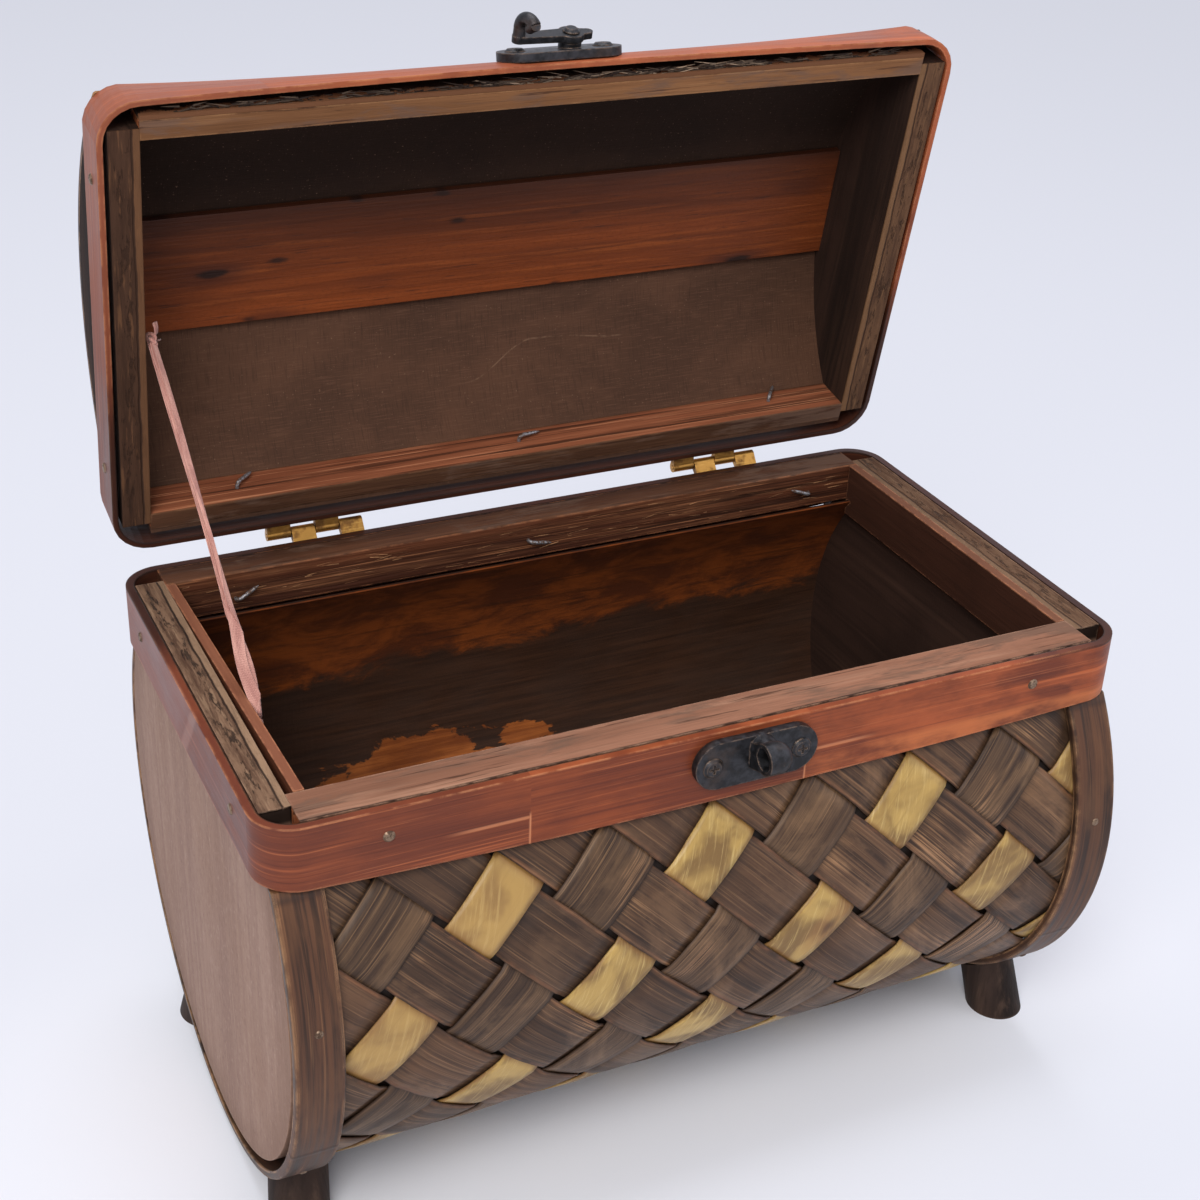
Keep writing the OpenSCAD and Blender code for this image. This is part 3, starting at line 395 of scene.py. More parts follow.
def batten_timber(name, body, mouth, face, relief=0.6 * MM, pale=None):
    """A batten with one tone on the side that lies in the mouth and another on its faces,
    sawn rough along its length."""
    f = Finish(name)
    place = f.place(body)
    x, y, z = f.split(place)
    bruise = f.cloud(place, (26, 110, 110), 5, 0.7, 0.5)
    more_right = f.ease(x, 40 * MM, 110 * MM, 0.0, 0.12)
    crack = f.cloud(place, (20, 520, 520), 4, 0.7, 0.3)
    furrow = f.cloud(place, (5, 420, 420), 4, 0.7, 0.4)
    hairs = f.ease(f.cloud(place, (14, 1500, 1500), 3), 0.6, 0.68)
    # Painted shadow: a dark line along the mouth face's outer edge, where the batten meets the band.
    shadow_gap_y = abs(y) + (bruise - 0.5) * (1.6 * MM)
    mouth_colour, mouth_relief = f.timber(place, "X", mouth)
    mouth_colour = f.layers(
        mouth_colour,
        (bruise + more_right, 0.5, 0.64, 0.75, (104, 80, 67)),
        (crack, 0.57, 0.65, 0.75, (62, 38, 28)),
        (shadow_gap_y, 71.0 * MM, 71.5 * MM, 0.85, (34, 21, 16)))
    face_colour, face_relief = f.timber(place, "X", face, 1.5)
    face_colour = f.layers(
        face_colour,
        (furrow, 0.5, 0.62, 0.75, (34, 19, 13)),
        (hairs, 0.75, face[2]))
    on_mouth = f.ease(abs(z), 0.5 * MM, 0.2 * MM)
    colour = f.blend(on_mouth, face_colour, mouth_colour)
    colour = f.wear(colour, place, 1.0 * MM, pale or mouth[2], 0.7)
    height = mouth_relief + face_relief * 0.5 - furrow * 0.8
    normal = f.bump(height, relief, 0.8, soft=0.5 * MM)
    return f.surface(colour, 0.74, normal)


def side_timber(name):
    """The thin strips along the end panels' insides: a pale top, partly rubbed wood and partly a painted
    highlight, over brown faces.
    """
    f = Finish(name)
    place = f.place("base")
    x, _, z = f.split(place)
    left, height = f.timber(place, "Y", ((92, 52, 36), (132, 78, 54), (158, 102, 74)), 1.4)
    right = f.timber(place, "Y", ((40, 24, 18), (64, 38, 28), (96, 62, 46)), 1.4)[0]
    # The top's paler tones are partly rubbed wood and partly a painted highlight.
    top = f.timber(place, "Y", ((122, 74, 54), (158, 104, 78), (190, 138, 108)), 1.4)[0]
    on_right = f.math("GREATER_THAN", x, 0.0)
    top = f.layers(top, (on_right, 0.6, (92, 60, 44)))
    colour = f.layers(
        left,
        (on_right, right),
        (f.ease(z, -0.6 * MM, -0.2 * MM, 0.0, 0.8), top))
    colour = f.wear(colour, place, 0.9 * MM, (198, 134, 98))
    normal = f.bump(height, 0.3 * MM, 0.8, soft=0.5 * MM)
    return f.surface(colour, 0.66, normal)


def end_ply(name):
    """The body's end panel: smooth pinkish ply outside, dark stain inside, a torn top edge."""
    f = Finish(name)
    place = f.place("base")
    x, y, z = f.split(place)
    skin, height = f.timber(place, "Z", ((142, 112, 98), (158, 128, 112), (174, 146, 130)), 3.0)
    bloom = f.ease(f.cloud(place, (30, 18, 12), 4), 0.4, 0.66)
    dust = f.cloud(place, (200, 700, 420), 4, 0.7)
    from_axis = f.math("SQRT", y * y + f.math("POWER", z - BARREL_Z, 2.0))
    low_wear = f.ease(from_axis, 66 * MM, 82 * MM)
    stain = f.timber(place, "Y", ((40, 28, 24), (62, 44, 37), (82, 60, 50)))[0]
    inside = f.ease(abs(x), PANEL_IN + 0.6 * MM, PANEL_IN + 0.2 * MM)
    edge, torn = f.ply_edge(place, ((80, 57, 44), (124, 96, 76), (158, 128, 102)))
    skin = f.layers(
        skin,
        (bloom, 0.5, (140, 108, 90)),
        (dust, 0.52, 0.7, 0.4, (112, 84, 70)),
        (dust, 0.44, 0.3, 0.4, (186, 160, 146)),
        (low_wear, 0.4, (112, 82, 66)))
    on_top = f.ease(z, -0.6 * MM, -0.2 * MM)
    edge = f.layers(edge, (f.ease(x, 0.0, 1 * MM, 0.0, 0.45), (82, 56, 38)))
    # Painted shadow: near black at the panel's front top corner, in the hole between its front end and the band.
    corner_hole_shadow = f.ease(z, -6 * MM, -4 * MM) * f.ease(y, -64.2 * MM, -64.4 * MM)
    colour = f.layers(
        f.blend(inside, skin, stain),
        (on_top, edge),
        (corner_hole_shadow, 0.92, (14, 10, 9)))
    colour = f.wear(colour, place, 0.9 * MM, (176, 140, 116), 0.6)
    height = height * 0.45 + torn * on_top * 2.0
    normal = f.bump(height, 0.4 * MM, 0.7, soft=0.5 * MM)
    return f.surface(colour, f.ease(height, 0.2, 0.6, 0.62, 0.78), normal)


def lid_ply(name):
    """The lid's end panel: a dark outer ply and a paler inner one show in the mouth."""
    f = Finish(name)
    place = f.place("lid")
    x, _, z = f.split(place)
    stain, height = f.timber(place, "Y", ((34, 24, 20), (56, 39, 32), (78, 56, 44)))
    edge_left, torn = f.ply_edge(place, ((44, 30, 23), (70, 49, 37), (140, 98, 66)))
    edge_right = f.ply_edge(place, ((80, 57, 42), (118, 86, 62), (158, 118, 82)))[0]
    edge = f.blend(f.math("GREATER_THAN", x, 0.0), edge_left, edge_right)
    in_mouth = f.ease(z, 0.6 * MM, 0.2 * MM)
    edge = f.layers(edge, (0.45, (74, 49, 35)))
    normal = f.bump(height * 0.4 + torn * 0.9, 0.5 * MM, 0.7, soft=0.5 * MM)
    colour = f.blend(in_mouth, stain, edge)
    return f.surface(colour, 0.78, normal)


MOUTH_EDGE = {"base": (-1.0 * MM, -0.4 * MM), "lid": (1.0 * MM, 0.4 * MM)}


def lacquer(name, body, laps):
    """Red-brown lacquered veneer with orange streaks, rubbed through along its edges.
    Its grain starts afresh past each lap."""
    f = Finish(name)
    place = f.place(body)
    x, y, z = f.split(place)
    shift, seam = 0.0, 0.0
    for lap, side in laps:
        shift = shift + f.math("GREATER_THAN", x, lap)
        past = (x - lap) * side
        low = f.ease(z, -11 * MM, -13 * MM)
        end = f.ease(abs(past), 0.5 * MM, 0.0) * low
        ledge = f.ease(abs(z + 13 * MM), 0.8 * MM, 0.2 * MM) * (
            f.ease(past, -0.2 * MM, 0.2 * MM) * f.ease(past, 26 * MM, 14 * MM))
        seam = f.most(seam, f.most(end, ledge * 0.7))
    at = f.vector(x, y, z + shift * 0.011)
    streak = f.cloud(at, (7, 7, 420), 6, 0.68, 0.1)
    fine = f.cloud(at, (16, 16, 1500), 4, 0.7)
    patch = f.cloud(at, (20, 20, 46), 5)
    body_colour = tuple(colours().lacquer)
    # Lighter orange patches grow towards the right end: partly the lacquer's own patches, partly a painted
    # highlight.
    right_highlight = f.ease(x, -60 * MM, 90 * MM, 0.15, 0.75)
    colour = f.layers(
        (98, 46, 30),
        (f.ease(streak, 0.3, 0.6), body_colour),
        (patch, 0.56, 0.4, 0.4, (90, 42, 30)),
        (streak, 0.55, 0.7, 0.75, (184, 98, 56)),
        (f.ease(x, -30 * MM, -130 * MM, 0.0, 0.45), (92, 52, 42)),
        (patch, 0.44, 0.7, right_highlight, (178, 92, 54)),
        (fine, 0.54, 0.7, 0.55, (72, 35, 27)),
        (fine, 0.42, 0.32, 0.35, (196, 118, 76)),
        (seam, 0.8, (204, 132, 92)))
    if body == "lid":
        # On the lid the band turns lighter salmon towards its front: a painted highlight.
        colour = f.layers(colour, (f.ease(y, 30 * MM, -60 * MM, 0.0, 0.25), (204, 116, 78)))
    if body == "base":
        on_left = f.ease(x, -134 * MM, -135.4 * MM)
        scarf = y + 8 * MM + (z + 7 * MM) * 0.8
        scarf = scarf + (patch - 0.5) * (6 * MM)
        # Past the scarf the left end turns greyish pink: a painted sheen, the reflection of the pale surroundings.
        painted_left_sheen = on_left * f.ease(scarf, -1 * MM, 12 * MM)
        lap_end = on_left * f.ease(abs(scarf), 4 * MM, 1.5 * MM)
        blotch = f.ease(f.cloud(at, (26, 26, 90), 3), 0.5, 0.6)
        to_right = f.ease(x, 60 * MM, 118 * MM) * f.ease(y, 0.0, -60 * MM)
        at_foot = f.ease(z, -14 * MM, -17 * MM) * f.ease(x, 10 * MM, 50 * MM)
        at_foot = at_foot * f.ease(patch, 0.4, 0.56)
        colour = f.layers(
            colour,
            (painted_left_sheen, 0.5, (142, 106, 102)),
            (lap_end, 0.3, (190, 148, 134)),
            (blotch * to_right, 0.65, (84, 40, 29)),
            (at_foot, 0.5, (206, 120, 70)))
    colour = f.wear(colour, place, 1.0 * MM, (208, 140, 98), 0.8, 150)
    # Painted shade: the band's inner faces, on the lid only towards its back, darken to deep brown.
    reach = f.hypotenuse(f.most(abs(x) - CORNER_X, 0.0), f.most(abs(y) - CORNER_Y, 0.0))
    if body == "base":
        inner_face_shade = f.ease(reach, 9.9 * MM, 9.6 * MM)
    else:
        inner_face_shade = f.ease(reach, 10.9 * MM, 10.5 * MM) * f.ease(y, 10 * MM, 30 * MM)
    # Painted shade: the mouth edge darkens at the back and at the right end.
    at_mouth = f.ease(z, *MOUTH_EDGE[body])
    right_end = f.ease(x, 90 * MM, 132 * MM) if body == "base" else 0.0
    shaded = f.most(f.ease(y, 0.0, 40 * MM), right_end)
    height = streak * 0.7 + fine * 0.4 - seam * 0.8
    normal = f.bump(height, 0.22 * MM, 0.8, soft=0.7 * MM)
    colour = f.layers(
        colour,
        (inner_face_shade, 0.85, (52, 31, 24)),
        (at_mouth * shaded, 0.85, (44, 27, 22)))
    return f.surface(colour, f.ease(patch, 0.3, 0.7, 0.34, 0.5), normal, 0.18)


def split_bamboo(name, body, centre_z, radius):
    """Bamboo bent round the box's long axis: its grain follows the bend."""
    f = Finish(name)
    place = f.place(body)
    x, y, z = f.split(place)
    angle = f.math("ARCTAN2", y, z - centre_z)
    at = f.vector(x, angle * radius, 0.0)
    grain = f.cloud(at, (520, 12, 1), 5, 0.65, 0.4)
    fibre = f.cloud(at, (1900, 50, 1), 3)
    patch = f.cloud(at, (60, 24, 1), 4)
    joint = f.ease(abs(f.math("SINE", angle * 3.1)), 0.06, 0.0)
    streak = f.cloud(at, (900, 9, 1), 4, 0.7)
    off_middle = abs(x) - EDGE_X
    inner_side = f.ease(off_middle, -4.6 * MM, -6.4 * MM)
    ridge = f.ease(abs(off_middle + 3.6 * MM), 1.0 * MM, 0.3 * MM)
    ridge = ridge * f.ease(patch, 0.4, 0.55)
    colour = f.layers(
        (44, 28, 19),
        (f.ease(grain, 0.38, 0.6), (86, 55, 37)),
        (streak, 0.56, 0.68, 0.4, (146, 104, 70)),
        (patch, 0.48, 0.7, 0.55, (100, 67, 44)),
        (fibre, 0.54, 0.72, 0.5, (46, 31, 25)),
        (joint, 0.55, (48, 32, 25)),
        (inner_side, 0.6, (54, 36, 28)),
        (ridge, 0.6, (170, 124, 84)))
    colour = f.wear(colour, place, 1.6 * MM, (190, 144, 102), 0.95, 120)
    normal = f.bump(grain * 0.7 + joint * 0.6, 0.25 * MM, 0.8, soft=0.6 * MM)
    return f.surface(colour, f.ease(grain, 0.3, 0.7, 0.42, 0.58), normal, 0.3)


def brown_strip(name, tones, edge_colour, edge_amount):
    """A thin strip of stained wood. Its own map gives the place along and across it."""
    dark, body, light = tones
    f = Finish(name)
    u, v = f.strip_place()
    strip = f.attribute("strip")
    at = f.vector(u, v, strip * 3.7)
    grain = f.cloud(at, (8, 520, 1), 5, 0.62, 0.25)
    fibre = f.cloud(at, (30, 2300, 1), 3, 0.65)
    streak = f.cloud(at, (13, 1500, 1), 4, 0.72)
    patch = f.cloud(at, (30, 60, 1), 5, 0.62, 0.6)
    scuffs = f.cloud(at, (16, 26, 1), 4, 0.6)
    each = f.shade_of(strip, 5.3, 0.5, 0.5)
    stained = f.shade_of(strip, 8.9, 4.5, 1.5)
    rubbed = f.ease(scuffs, 0.56, 0.68) * f.ease(streak, 0.46, 0.58)
    side = f.attribute("rim")
    chips = f.ease(f.cloud(at, (120, 300, 1), 4), 0.4, 0.6)
    height = grain * 0.6 + (fibre * 0.35 + streak * 0.5)
    normal = f.bump(height, 0.2 * MM, 0.9)
    colour = f.layers(
        dark,
        (f.ease(grain, 0.36, 0.62), body),
        (patch, 0.46, 0.66, 0.6, light),
        (each, 0.38, 0.6, 0.5, dark),
        (stained, 0.5, 0.66, 0.45, (108, 76, 54)),
        (streak, 0.52, 0.66, 0.65, light),
        (fibre, 0.54, 0.7, 0.6, dark),
        (rubbed, 0.7, (170, 128, 92)),
        (f.ease(side, 0.84, 0.96) * chips, edge_amount, edge_colour),
        # Painted shade: a dark line along the strip's edges and a darkening where it dips under its neighbours.
        (side, 0.95, 1.0, 0.6, (40, 28, 22)),
        (f.attribute("dip"), 0.35, (34, 25, 20)))
    return f.surface(colour, f.ease(patch, 0.3, 0.7, 0.58, 0.44), normal, 0.3)


def gold_strip(name):
    """A strip dyed gold: brushed aslant, clouded, and browned round a few knots."""
    f = Finish(name)
    u, v = f.strip_place()
    strip = f.attribute("strip")
    at = f.vector(u, v, strip * 3.7)
    aslant = f.turned(at, turn=(0, 0, 0.5))
    brushed = f.cloud(aslant, (70, 1100, 1), 4, 0.65)
    fibre = f.cloud(at, (26, 1500, 1), 3)
    clouds = f.cloud(at, (60, 70, 1), 3, 0.5, 0.4)
    each = f.shade_of(strip, 6.1, 2.5, 0.5)
    warped = f.vector(u + f.cloud(at, (90, 90, 1), 3) * (9 * MM), v, strip * 3.7)
    knot = f.cells(warped, (15, 34, 1))
    kept = f.ease(f.cloud(at, (20, 12, 1), 2), 0.4, 0.45)
    side = f.attribute("rim")
    chips = f.ease(f.cloud(at, (120, 300, 1), 4), 0.42, 0.6)
    normal = f.bump(brushed * 0.6 + fibre * 0.5, 0.16 * MM, 0.8)
    colour = f.layers(
        (122, 94, 56),
        (f.ease(clouds, 0.4, 0.62), tuple(colours().gold)),
        (brushed, 0.5, 0.7, 0.55, (208, 180, 118)),
        (fibre, 0.52, 0.72, 0.35, (134, 104, 60)),
        (each, 0.44, 0.6, 0.5, (160, 124, 76)),
        (f.ease(knot, 0.26, 0.1) * kept, 0.55, (142, 100, 58)),
        (f.ease(knot, 0.1, 0.05) * kept, 0.9, (70, 46, 34)),
        (f.ease(side, 0.78, 1.0) * chips, 0.7, (126, 90, 56)),
        # Painted shade: where the strip dips under its neighbours it turns browner, then dark.
        (f.attribute("dip"), 0.0, 0.7, 0.6, (136, 94, 50)),
        (f.attribute("dip"), 0.5, 1.0, 0.5, (62, 43, 30)))
    return f.surface(colour, f.ease(clouds, 0.3, 0.7, 0.5, 0.34), normal, 0.3)


def stained_liner(name):
    """The bent sheet inside the body: varnish peeling in orange patches over brown ply."""
    f = Finish(name)
    place = f.place("base")
    x, y, z = f.split(place)
    drop = z - BARREL_Z
    angle = f.math("ARCTAN2", y, drop)
    around = angle * BARREL_R
    at = f.vector(x, around, 0.0)
    grain = f.cloud(at, (24, 420, 1), 5, 0.66, 0.3)
    weft = f.cloud(at, (420, 40, 1), 3)
    ragged = f.cloud(at, (34, 60, 1), 6, 0.68, 0.5)
    haze = f.cloud(at, (16, 20, 1), 4)
    wobble = (ragged - 0.5) * (30 * MM)
    high = z + (wobble + x * -0.02)
    back_wall = f.ease(high, -57 * MM, -50 * MM) * f.ease(y, 0.0, 10 * MM)
    amber = f.layers(
        (92, 44, 20),
        (f.ease(ragged, 0.4, 0.62), (142, 72, 30)),
        (grain, 0.52, 0.66, 0.6, (60, 32, 18)))
    orange = f.blend(f.ease(grain * 0.4 + haze * 0.6, 0.4, 0.6), (128, 66, 30), (186, 106, 50))
    bare = -1.0
    bare_spots = (-40, -100, 40, 14), (2, -94, 12, 5), (-10, -101, 34, 9)
    for spot_x, spot_z, half_x, half_z in bare_spots:
        off_x = (x - spot_x * MM) / (half_x * MM)
        off_z = (z - spot_z * MM) / (half_z * MM)
        bare = f.most(bare, 1.0 - (off_x * off_x + off_z * off_z))
    bare = bare + (ragged - 0.5) * 5.0
    on_back = f.ease(y, 20 * MM, 30 * MM)
    # Painted shade: the sheet's outer face, in the gap behind the weave, is near black.
    outer_face_shade = f.ease(f.hypotenuse(y, drop), BARREL_R - 6.3 * MM, BARREL_R - 6.0 * MM)
    normal = f.bump(grain + weft * 0.3, 0.22 * MM, 0.7)
    colour = f.layers(
        (50, 32, 23),
        (f.ease(grain, 0.3, 0.7), (72, 46, 32)),
        (haze, 0.46, 0.66, 0.5, (60, 42, 33)),
        (back_wall, 0.9, amber),
        (f.ease(bare, 0.1, 0.3) * on_back, 0.9, orange),
        (outer_face_shade, 0.9, (24, 17, 13)))
    return f.surface(colour, f.ease(ragged, 0.3, 0.7, 0.66, 0.46), normal, 0.3)


def cloth_veneer(name):
    """The bent sheet inside the lid: dark warm brown with a cloth's fine crossed grain."""
    f = Finish(name)
    place = f.place("lid")
    x, y, z = f.split(place)
    around = f.math("ARCTAN2", y, z - DOME_Z) * DOME_R
    at = f.vector(x, around, 0.0)
    warp = f.cloud(at, (110, 2600, 1), 4)
    weft = f.cloud(at, (2600, 110, 1), 4)
    patch = f.cloud(at, (18, 26, 1), 5, 0.6, 0.5)
    specks = f.ease(f.cloud(at, (1100, 1100, 1), 2), 0.66, 0.74)
    course = (f.ease(x, -11 * MM, 14 * MM, 54 * MM, 41.5 * MM)
              + f.ease(x, 18 * MM, 47 * MM, 0.0, 3 * MM))
    strayed = around - course + (patch - 0.5) * (3 * MM)
    scratch = f.ease(abs(strayed), 0.4 * MM, 0.1 * MM)
    scratch = scratch * f.ease(abs(x - 18 * MM), 30 * MM, 26 * MM)
    scratch = scratch * f.ease(f.cloud(at, (160, 160, 1), 3), 0.4, 0.56)
    torn = z + (f.cloud(place, (90, 10, 10), 5, 0.8) - 0.5) * (14 * MM)
    front_end = f.ease(y, -67.5 * MM, -68 * MM) * f.ease(torn, 3.6 * MM, 3.0 * MM)
    normal = f.bump(warp + weft, 0.2 * MM, 0.7)
    colour = f.layers(
        (74, 51, 39),
        (f.ease(patch, 0.36, 0.64), (90, 62, 47)),
        (warp, 0.5, 0.66, 0.35, (112, 80, 62)),
        (weft, 0.5, 0.68, 0.4, (50, 34, 27)),
        # Painted shade: towards the lid's front the sheet darkens nearly to black.
        (f.ease(y, 24 * MM, -34 * MM, 0.0, 0.85), (24, 16, 12)),
        (specks, 0.4, (150, 118, 96)),
        (scratch, 0.35, (150, 118, 96)),
        (front_end, 0.9, (112, 74, 50)))
    return f.surface(colour, 0.85, normal, 0.15)


def slat_timber(name):
    """The lid's crown slat: orange stain, tight grain and long dark knots."""
    f = Finish(name)
    place = f.place("lid")
    x, y = f.split(place)[:2]
    colour, height = f.timber(place, "X", ((98, 45, 17), (134, 64, 25), (166, 86, 36)), 2.6)
    fine = f.cloud(place, (700, 1100, 1), 4, 0.7)
    flat = f.vector(x, y, 0.0)
    bent = f.vector(x + f.cloud(flat, (60, 160, 1), 4) * (12 * MM), y, 0.0)
    knot = f.cells(bent, (20, 60, 1))
    leftward = f.ease(x, 20 * MM, -60 * MM, 0.0, 0.1)
    kept = f.ease(f.cloud(flat, (11, 40, 1), 2) + leftward, 0.5, 0.56)
    speck = f.cells(f.turned(bent, shift=(0.3, 0.1, 0.0)), (48, 130, 1))
    some = f.ease(f.cloud(flat, (26, 60, 1), 2) + leftward * 1.4, 0.54, 0.6)
    scars = f.ease(f.cloud(flat, (40, 800, 1), 4, 0.7), 0.6, 0.66)
    normal = f.bump(height, 0.4 * MM, 0.7, soft=0.5 * MM)
    colour = f.layers(
        colour,
        (fine, 0.5, 0.64, 0.3, (90, 42, 18)),
        # Painted shade: towards the lid's front the slat darkens.
        (f.ease(y, 8 * MM, -24 * MM, 0.0, 0.75), (44, 23, 14)),
        (f.ease(knot, 0.34, 0.1) * kept, 0.6, (70, 34, 22)),
        (f.ease(knot, 0.12, 0.06) * kept, 0.9, (30, 18, 14)),
        (f.ease(speck, 0.2, 0.07) * some, 0.85, (34, 19, 13)),
        (scars, 0.6, (58, 30, 20)))
    return f.surface(colour, f.ease(height, 0.3, 0.8, 0.5, 0.66), normal, 0.3)


def antique_bronze(name):
    """Dark blackened bronze with brown rubbed edges."""
    f = Finish(name)
    place = f.place()
    mottle = f.cloud(place, (420, 420, 420), 5, 0.65)
    patch = f.cloud(place, (90, 90, 90), 4)
    colour = f.layers(
        (30, 30, 32),
        (f.ease(mottle, 0.36, 0.66), (54, 54, 58)),
        (patch, 0.52, 0.7, 0.4, (80, 62, 50)))
    colour = f.wear(colour, place, 0.7 * MM, (138, 114, 96), 0.7, 600)
    normal = f.bump(mottle, 0.1 * MM, 0.6, soft=0.5 * MM)
    return f.surface(colour, f.ease(mottle, 0.3, 0.7, 0.36, 0.54), normal, 0.5, Metallic=0.6)


def tarnished_brass(name):
    """Brass hinge leaves, tarnished brown in patches."""
    f = Finish(name)
    place = f.place()
    patch = f.cloud(place, (170, 170, 170), 5)
    scratch = f.cloud(place, (90, 1600, 1600), 3)
    normal = f.bump(patch + scratch * 0.5, 0.08 * MM, 0.6, soft=0.3 * MM)
    colour = f.layers(
        (176, 130, 64),
        (f.ease(patch, 0.46, 0.66), (108, 74, 38)),
        (scratch, 0.56, 0.7, 0.4, (220, 176, 100)))
    return f.surface(colour, f.ease(patch, 0.4, 0.65, 0.28, 0.52), normal, 0.5, Metallic=0.9)


def nail_steel(name, bright, rust):
    """Nail steel, greyed and rusted in spots."""
    f = Finish(name)
    place = f.place()
    spots = f.cloud(place, (800, 800, 800), 4, 0.7)
    fine = f.cloud(place, (3000, 3000, 3000), 3)
    normal = f.bump(spots + fine * 0.4, 0.08 * MM, 0.7)
    colour = f.blend(f.ease(spots, 0.44, 0.58), bright, rust)
    return f.surface(colour, f.ease(spots, 0.4, 0.6, 0.4, 0.7), normal, 0.5, Metallic=0.7)


def torn_fibres(name, dark, pale):
    """Splinters and torn ends of wood, each of its own shade."""
    f = Finish(name)
    place = f.place()
    shade = f.attribute("shade")
    grit = f.cloud(place, (500, 1400, 1400), 4, 0.65)
    colour = f.layers(
        dark,
        (shade, pale),
        (grit, 0.5, 0.66, 0.6, dark))
    return f.surface(colour, 0.75, f.bump(grit, 0.15 * MM, 0.8))


def ribbon_satin(name):
    """Dusty pink ribbon with a fine cross weave and lengthwise creases."""
    f = Finish(name)
    u, v = f.strip_place()
    warp = f.math("SINE", v * 14000)
    weft = f.math("SINE", u * 9000)
    patch = f.cloud(f.vector(u, v, 0.0), (90, 300, 1), 4)
    crease = f.cloud(f.vector(u, v, 0.0), (30, 1500, 1), 3)
    height = warp + weft * 0.7 + crease * 2.0
    colour = f.layers(
        (170, 116, 106),
        (f.ease(patch, 0.36, 0.66), tuple(colours().ribbon)),
        (warp, 0.2, 1.0, 0.2, (222, 176, 162)),
        # Painted shade: the lengthwise creases darken.
        (crease, 0.54, 0.68, 0.4, (150, 98, 90)))
    return f.surface(colour, 0.6, f.bump(height, 0.06 * MM, 0.6), 0.3, Sheen_Weight=0.3)


def knotted_satin(name):
    """The ribbon's finish where it is tied, on the solid's own place."""
    f = Finish(name)
    place = f.place("lid")
    fold = f.cloud(place, (1400, 300, 300), 4)
    fine = f.cloud(place, (4000, 4000, 4000), 2)
    normal = f.bump(fold + fine * 0.4, 0.12 * MM, 0.7)
    colour = f.blend(f.ease(fold, 0.36, 0.66), (164, 110, 100), tuple(colours().ribbon))
    return f.surface(colour, 0.62, normal, 0.3, Sheen_Weight=0.3)


def make_finishes():
    """Every finish of the box, by the name of the record's slot or of the piece."""
    browns = (48, 32, 22), tuple(colours().dark), (132, 101, 72)
    russets = (46, 31, 22), (90, 64, 45), (128, 96, 69)
    warm_batten = (112, 60, 36), (154, 88, 54), (192, 126, 84)
    table = {
        "end_ply": (end_ply,),
        "lid_ply": (lid_ply,),
        "body_liner": (stained_liner,),
        "lid_liner": (cloth_veneer,),
        "batten_front": (
            batten_timber, "base",
            ((104, 70, 54), (154, 108, 86), (190, 148, 122)), warm_batten),
        "batten_back": (
            batten_timber, "base",
            ((66, 41, 29), (102, 66, 47), (142, 100, 74)),
            ((60, 32, 21), (98, 55, 35), (150, 100, 68)),
            1.0 * MM, (186, 120, 82)),
        "lid_batten_back": (
            batten_timber, "lid",
            ((58, 37, 26), (92, 61, 43), (128, 90, 64)),
            ((118, 66, 44), (162, 98, 68), (198, 134, 98))),
        "lid_batten_front": (
            batten_timber, "lid",
            ((92, 60, 38), (136, 94, 62), (168, 124, 86)), warm_batten),
        "side_timber": (side_timber,),
        "slat_wood": (slat_timber,),
        "red_band": (lacquer, "base", BASE_LAPS),
        "red_band_lid": (lacquer, "lid", LID_LAPS),
        "bamboo": (split_bamboo, "base", BARREL_Z, BARREL_R),
        "bamboo_lid": (split_bamboo, "lid", DOME_Z, DOME_R),
        "gold_strip": (gold_strip,),
        "dark_strip": (brown_strip, browns, (136, 102, 76), 0.15),
        "falling_strip": (brown_strip, russets, (160, 104, 68), 0.3),
        "foot_wood": (
            plain_timber, "base", "Z",
            ((34, 26, 23), (62, 47, 40), (92, 72, 60)), 1.4, 0.3 * MM, 0.58),
        "dark_metal": (antique_bronze,),
        "hinge_brass": (tarnished_brass,),
        "nail_steel": (nail_steel, (150, 150, 154), (96, 76, 64)),
        "nail_brown": (nail_steel, (134, 112, 92), (88, 68, 54)),
        "splinter": (torn_fibres, (78, 44, 28), (196, 146, 104)),
        "torn_ends": (torn_fibres, (40, 30, 26), (150, 128, 108)),
        "ribbon": (ribbon_satin,),
        "knotted_ribbon": (knotted_satin,),
    }
    return {name: make(name, *given) for name, (make, *given) in table.items()}


finishes = {}

NODE_FINISHES = {
    "base_edge_strip": "bamboo", "lid_edge_strip": "bamboo_lid", "base_rim_band": "red_band",
    "lid_rim_band": "red_band_lid", "lid_end_panel": "lid_ply", "base_end_panel": "end_ply",
    "base_batten_front": "batten_front", "base_batten_back": "batten_back",
    "lid_batten_front": "lid_batten_front", "lid_batten_back": "lid_batten_back",
    "base_side_strip": "side_timber", "base_band_nails": "nail_brown",
    "lid_band_nails": "nail_brown",
}


def finish_for(node):
    """The finish of a node that keeps its own solid."""
    for start, finish in NODE_FINISHES.items():
        if node.startswith(start):
            return finish
    return next(s["material_slot"] for s in frame["record"]["subparts"] if s["node"] == node)


# ---- mesh helpers ----
def linked(name, data):
    """A new object in the scene."""
    thing = bpy.data.objects.new(name, data)
    bpy.context.scene.collection.objects.link(thing)
    return thing


def new_piece(name, mesh, finish):
    piece = linked(name, mesh)
    mesh.materials.clear()
    mesh.materials.append(finishes[finish])
    return piece


def riding(name, mesh, finish, body):
    """A piece that moves with a body and takes its finish from one of the record's slots."""
    piece = new_piece(name, mesh, finish)
    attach(piece, body)
    return piece


def close(work, mesh, place=None):
    """Turns a bmesh's closed shells outwards and ends it in a mesh, moved to its place."""
    bmesh.ops.recalc_face_normals(work, faces=work.faces)
    work.to_mesh(mesh)
    work.free()
    if place is not None:
        mesh.transform(place)
    return mesh


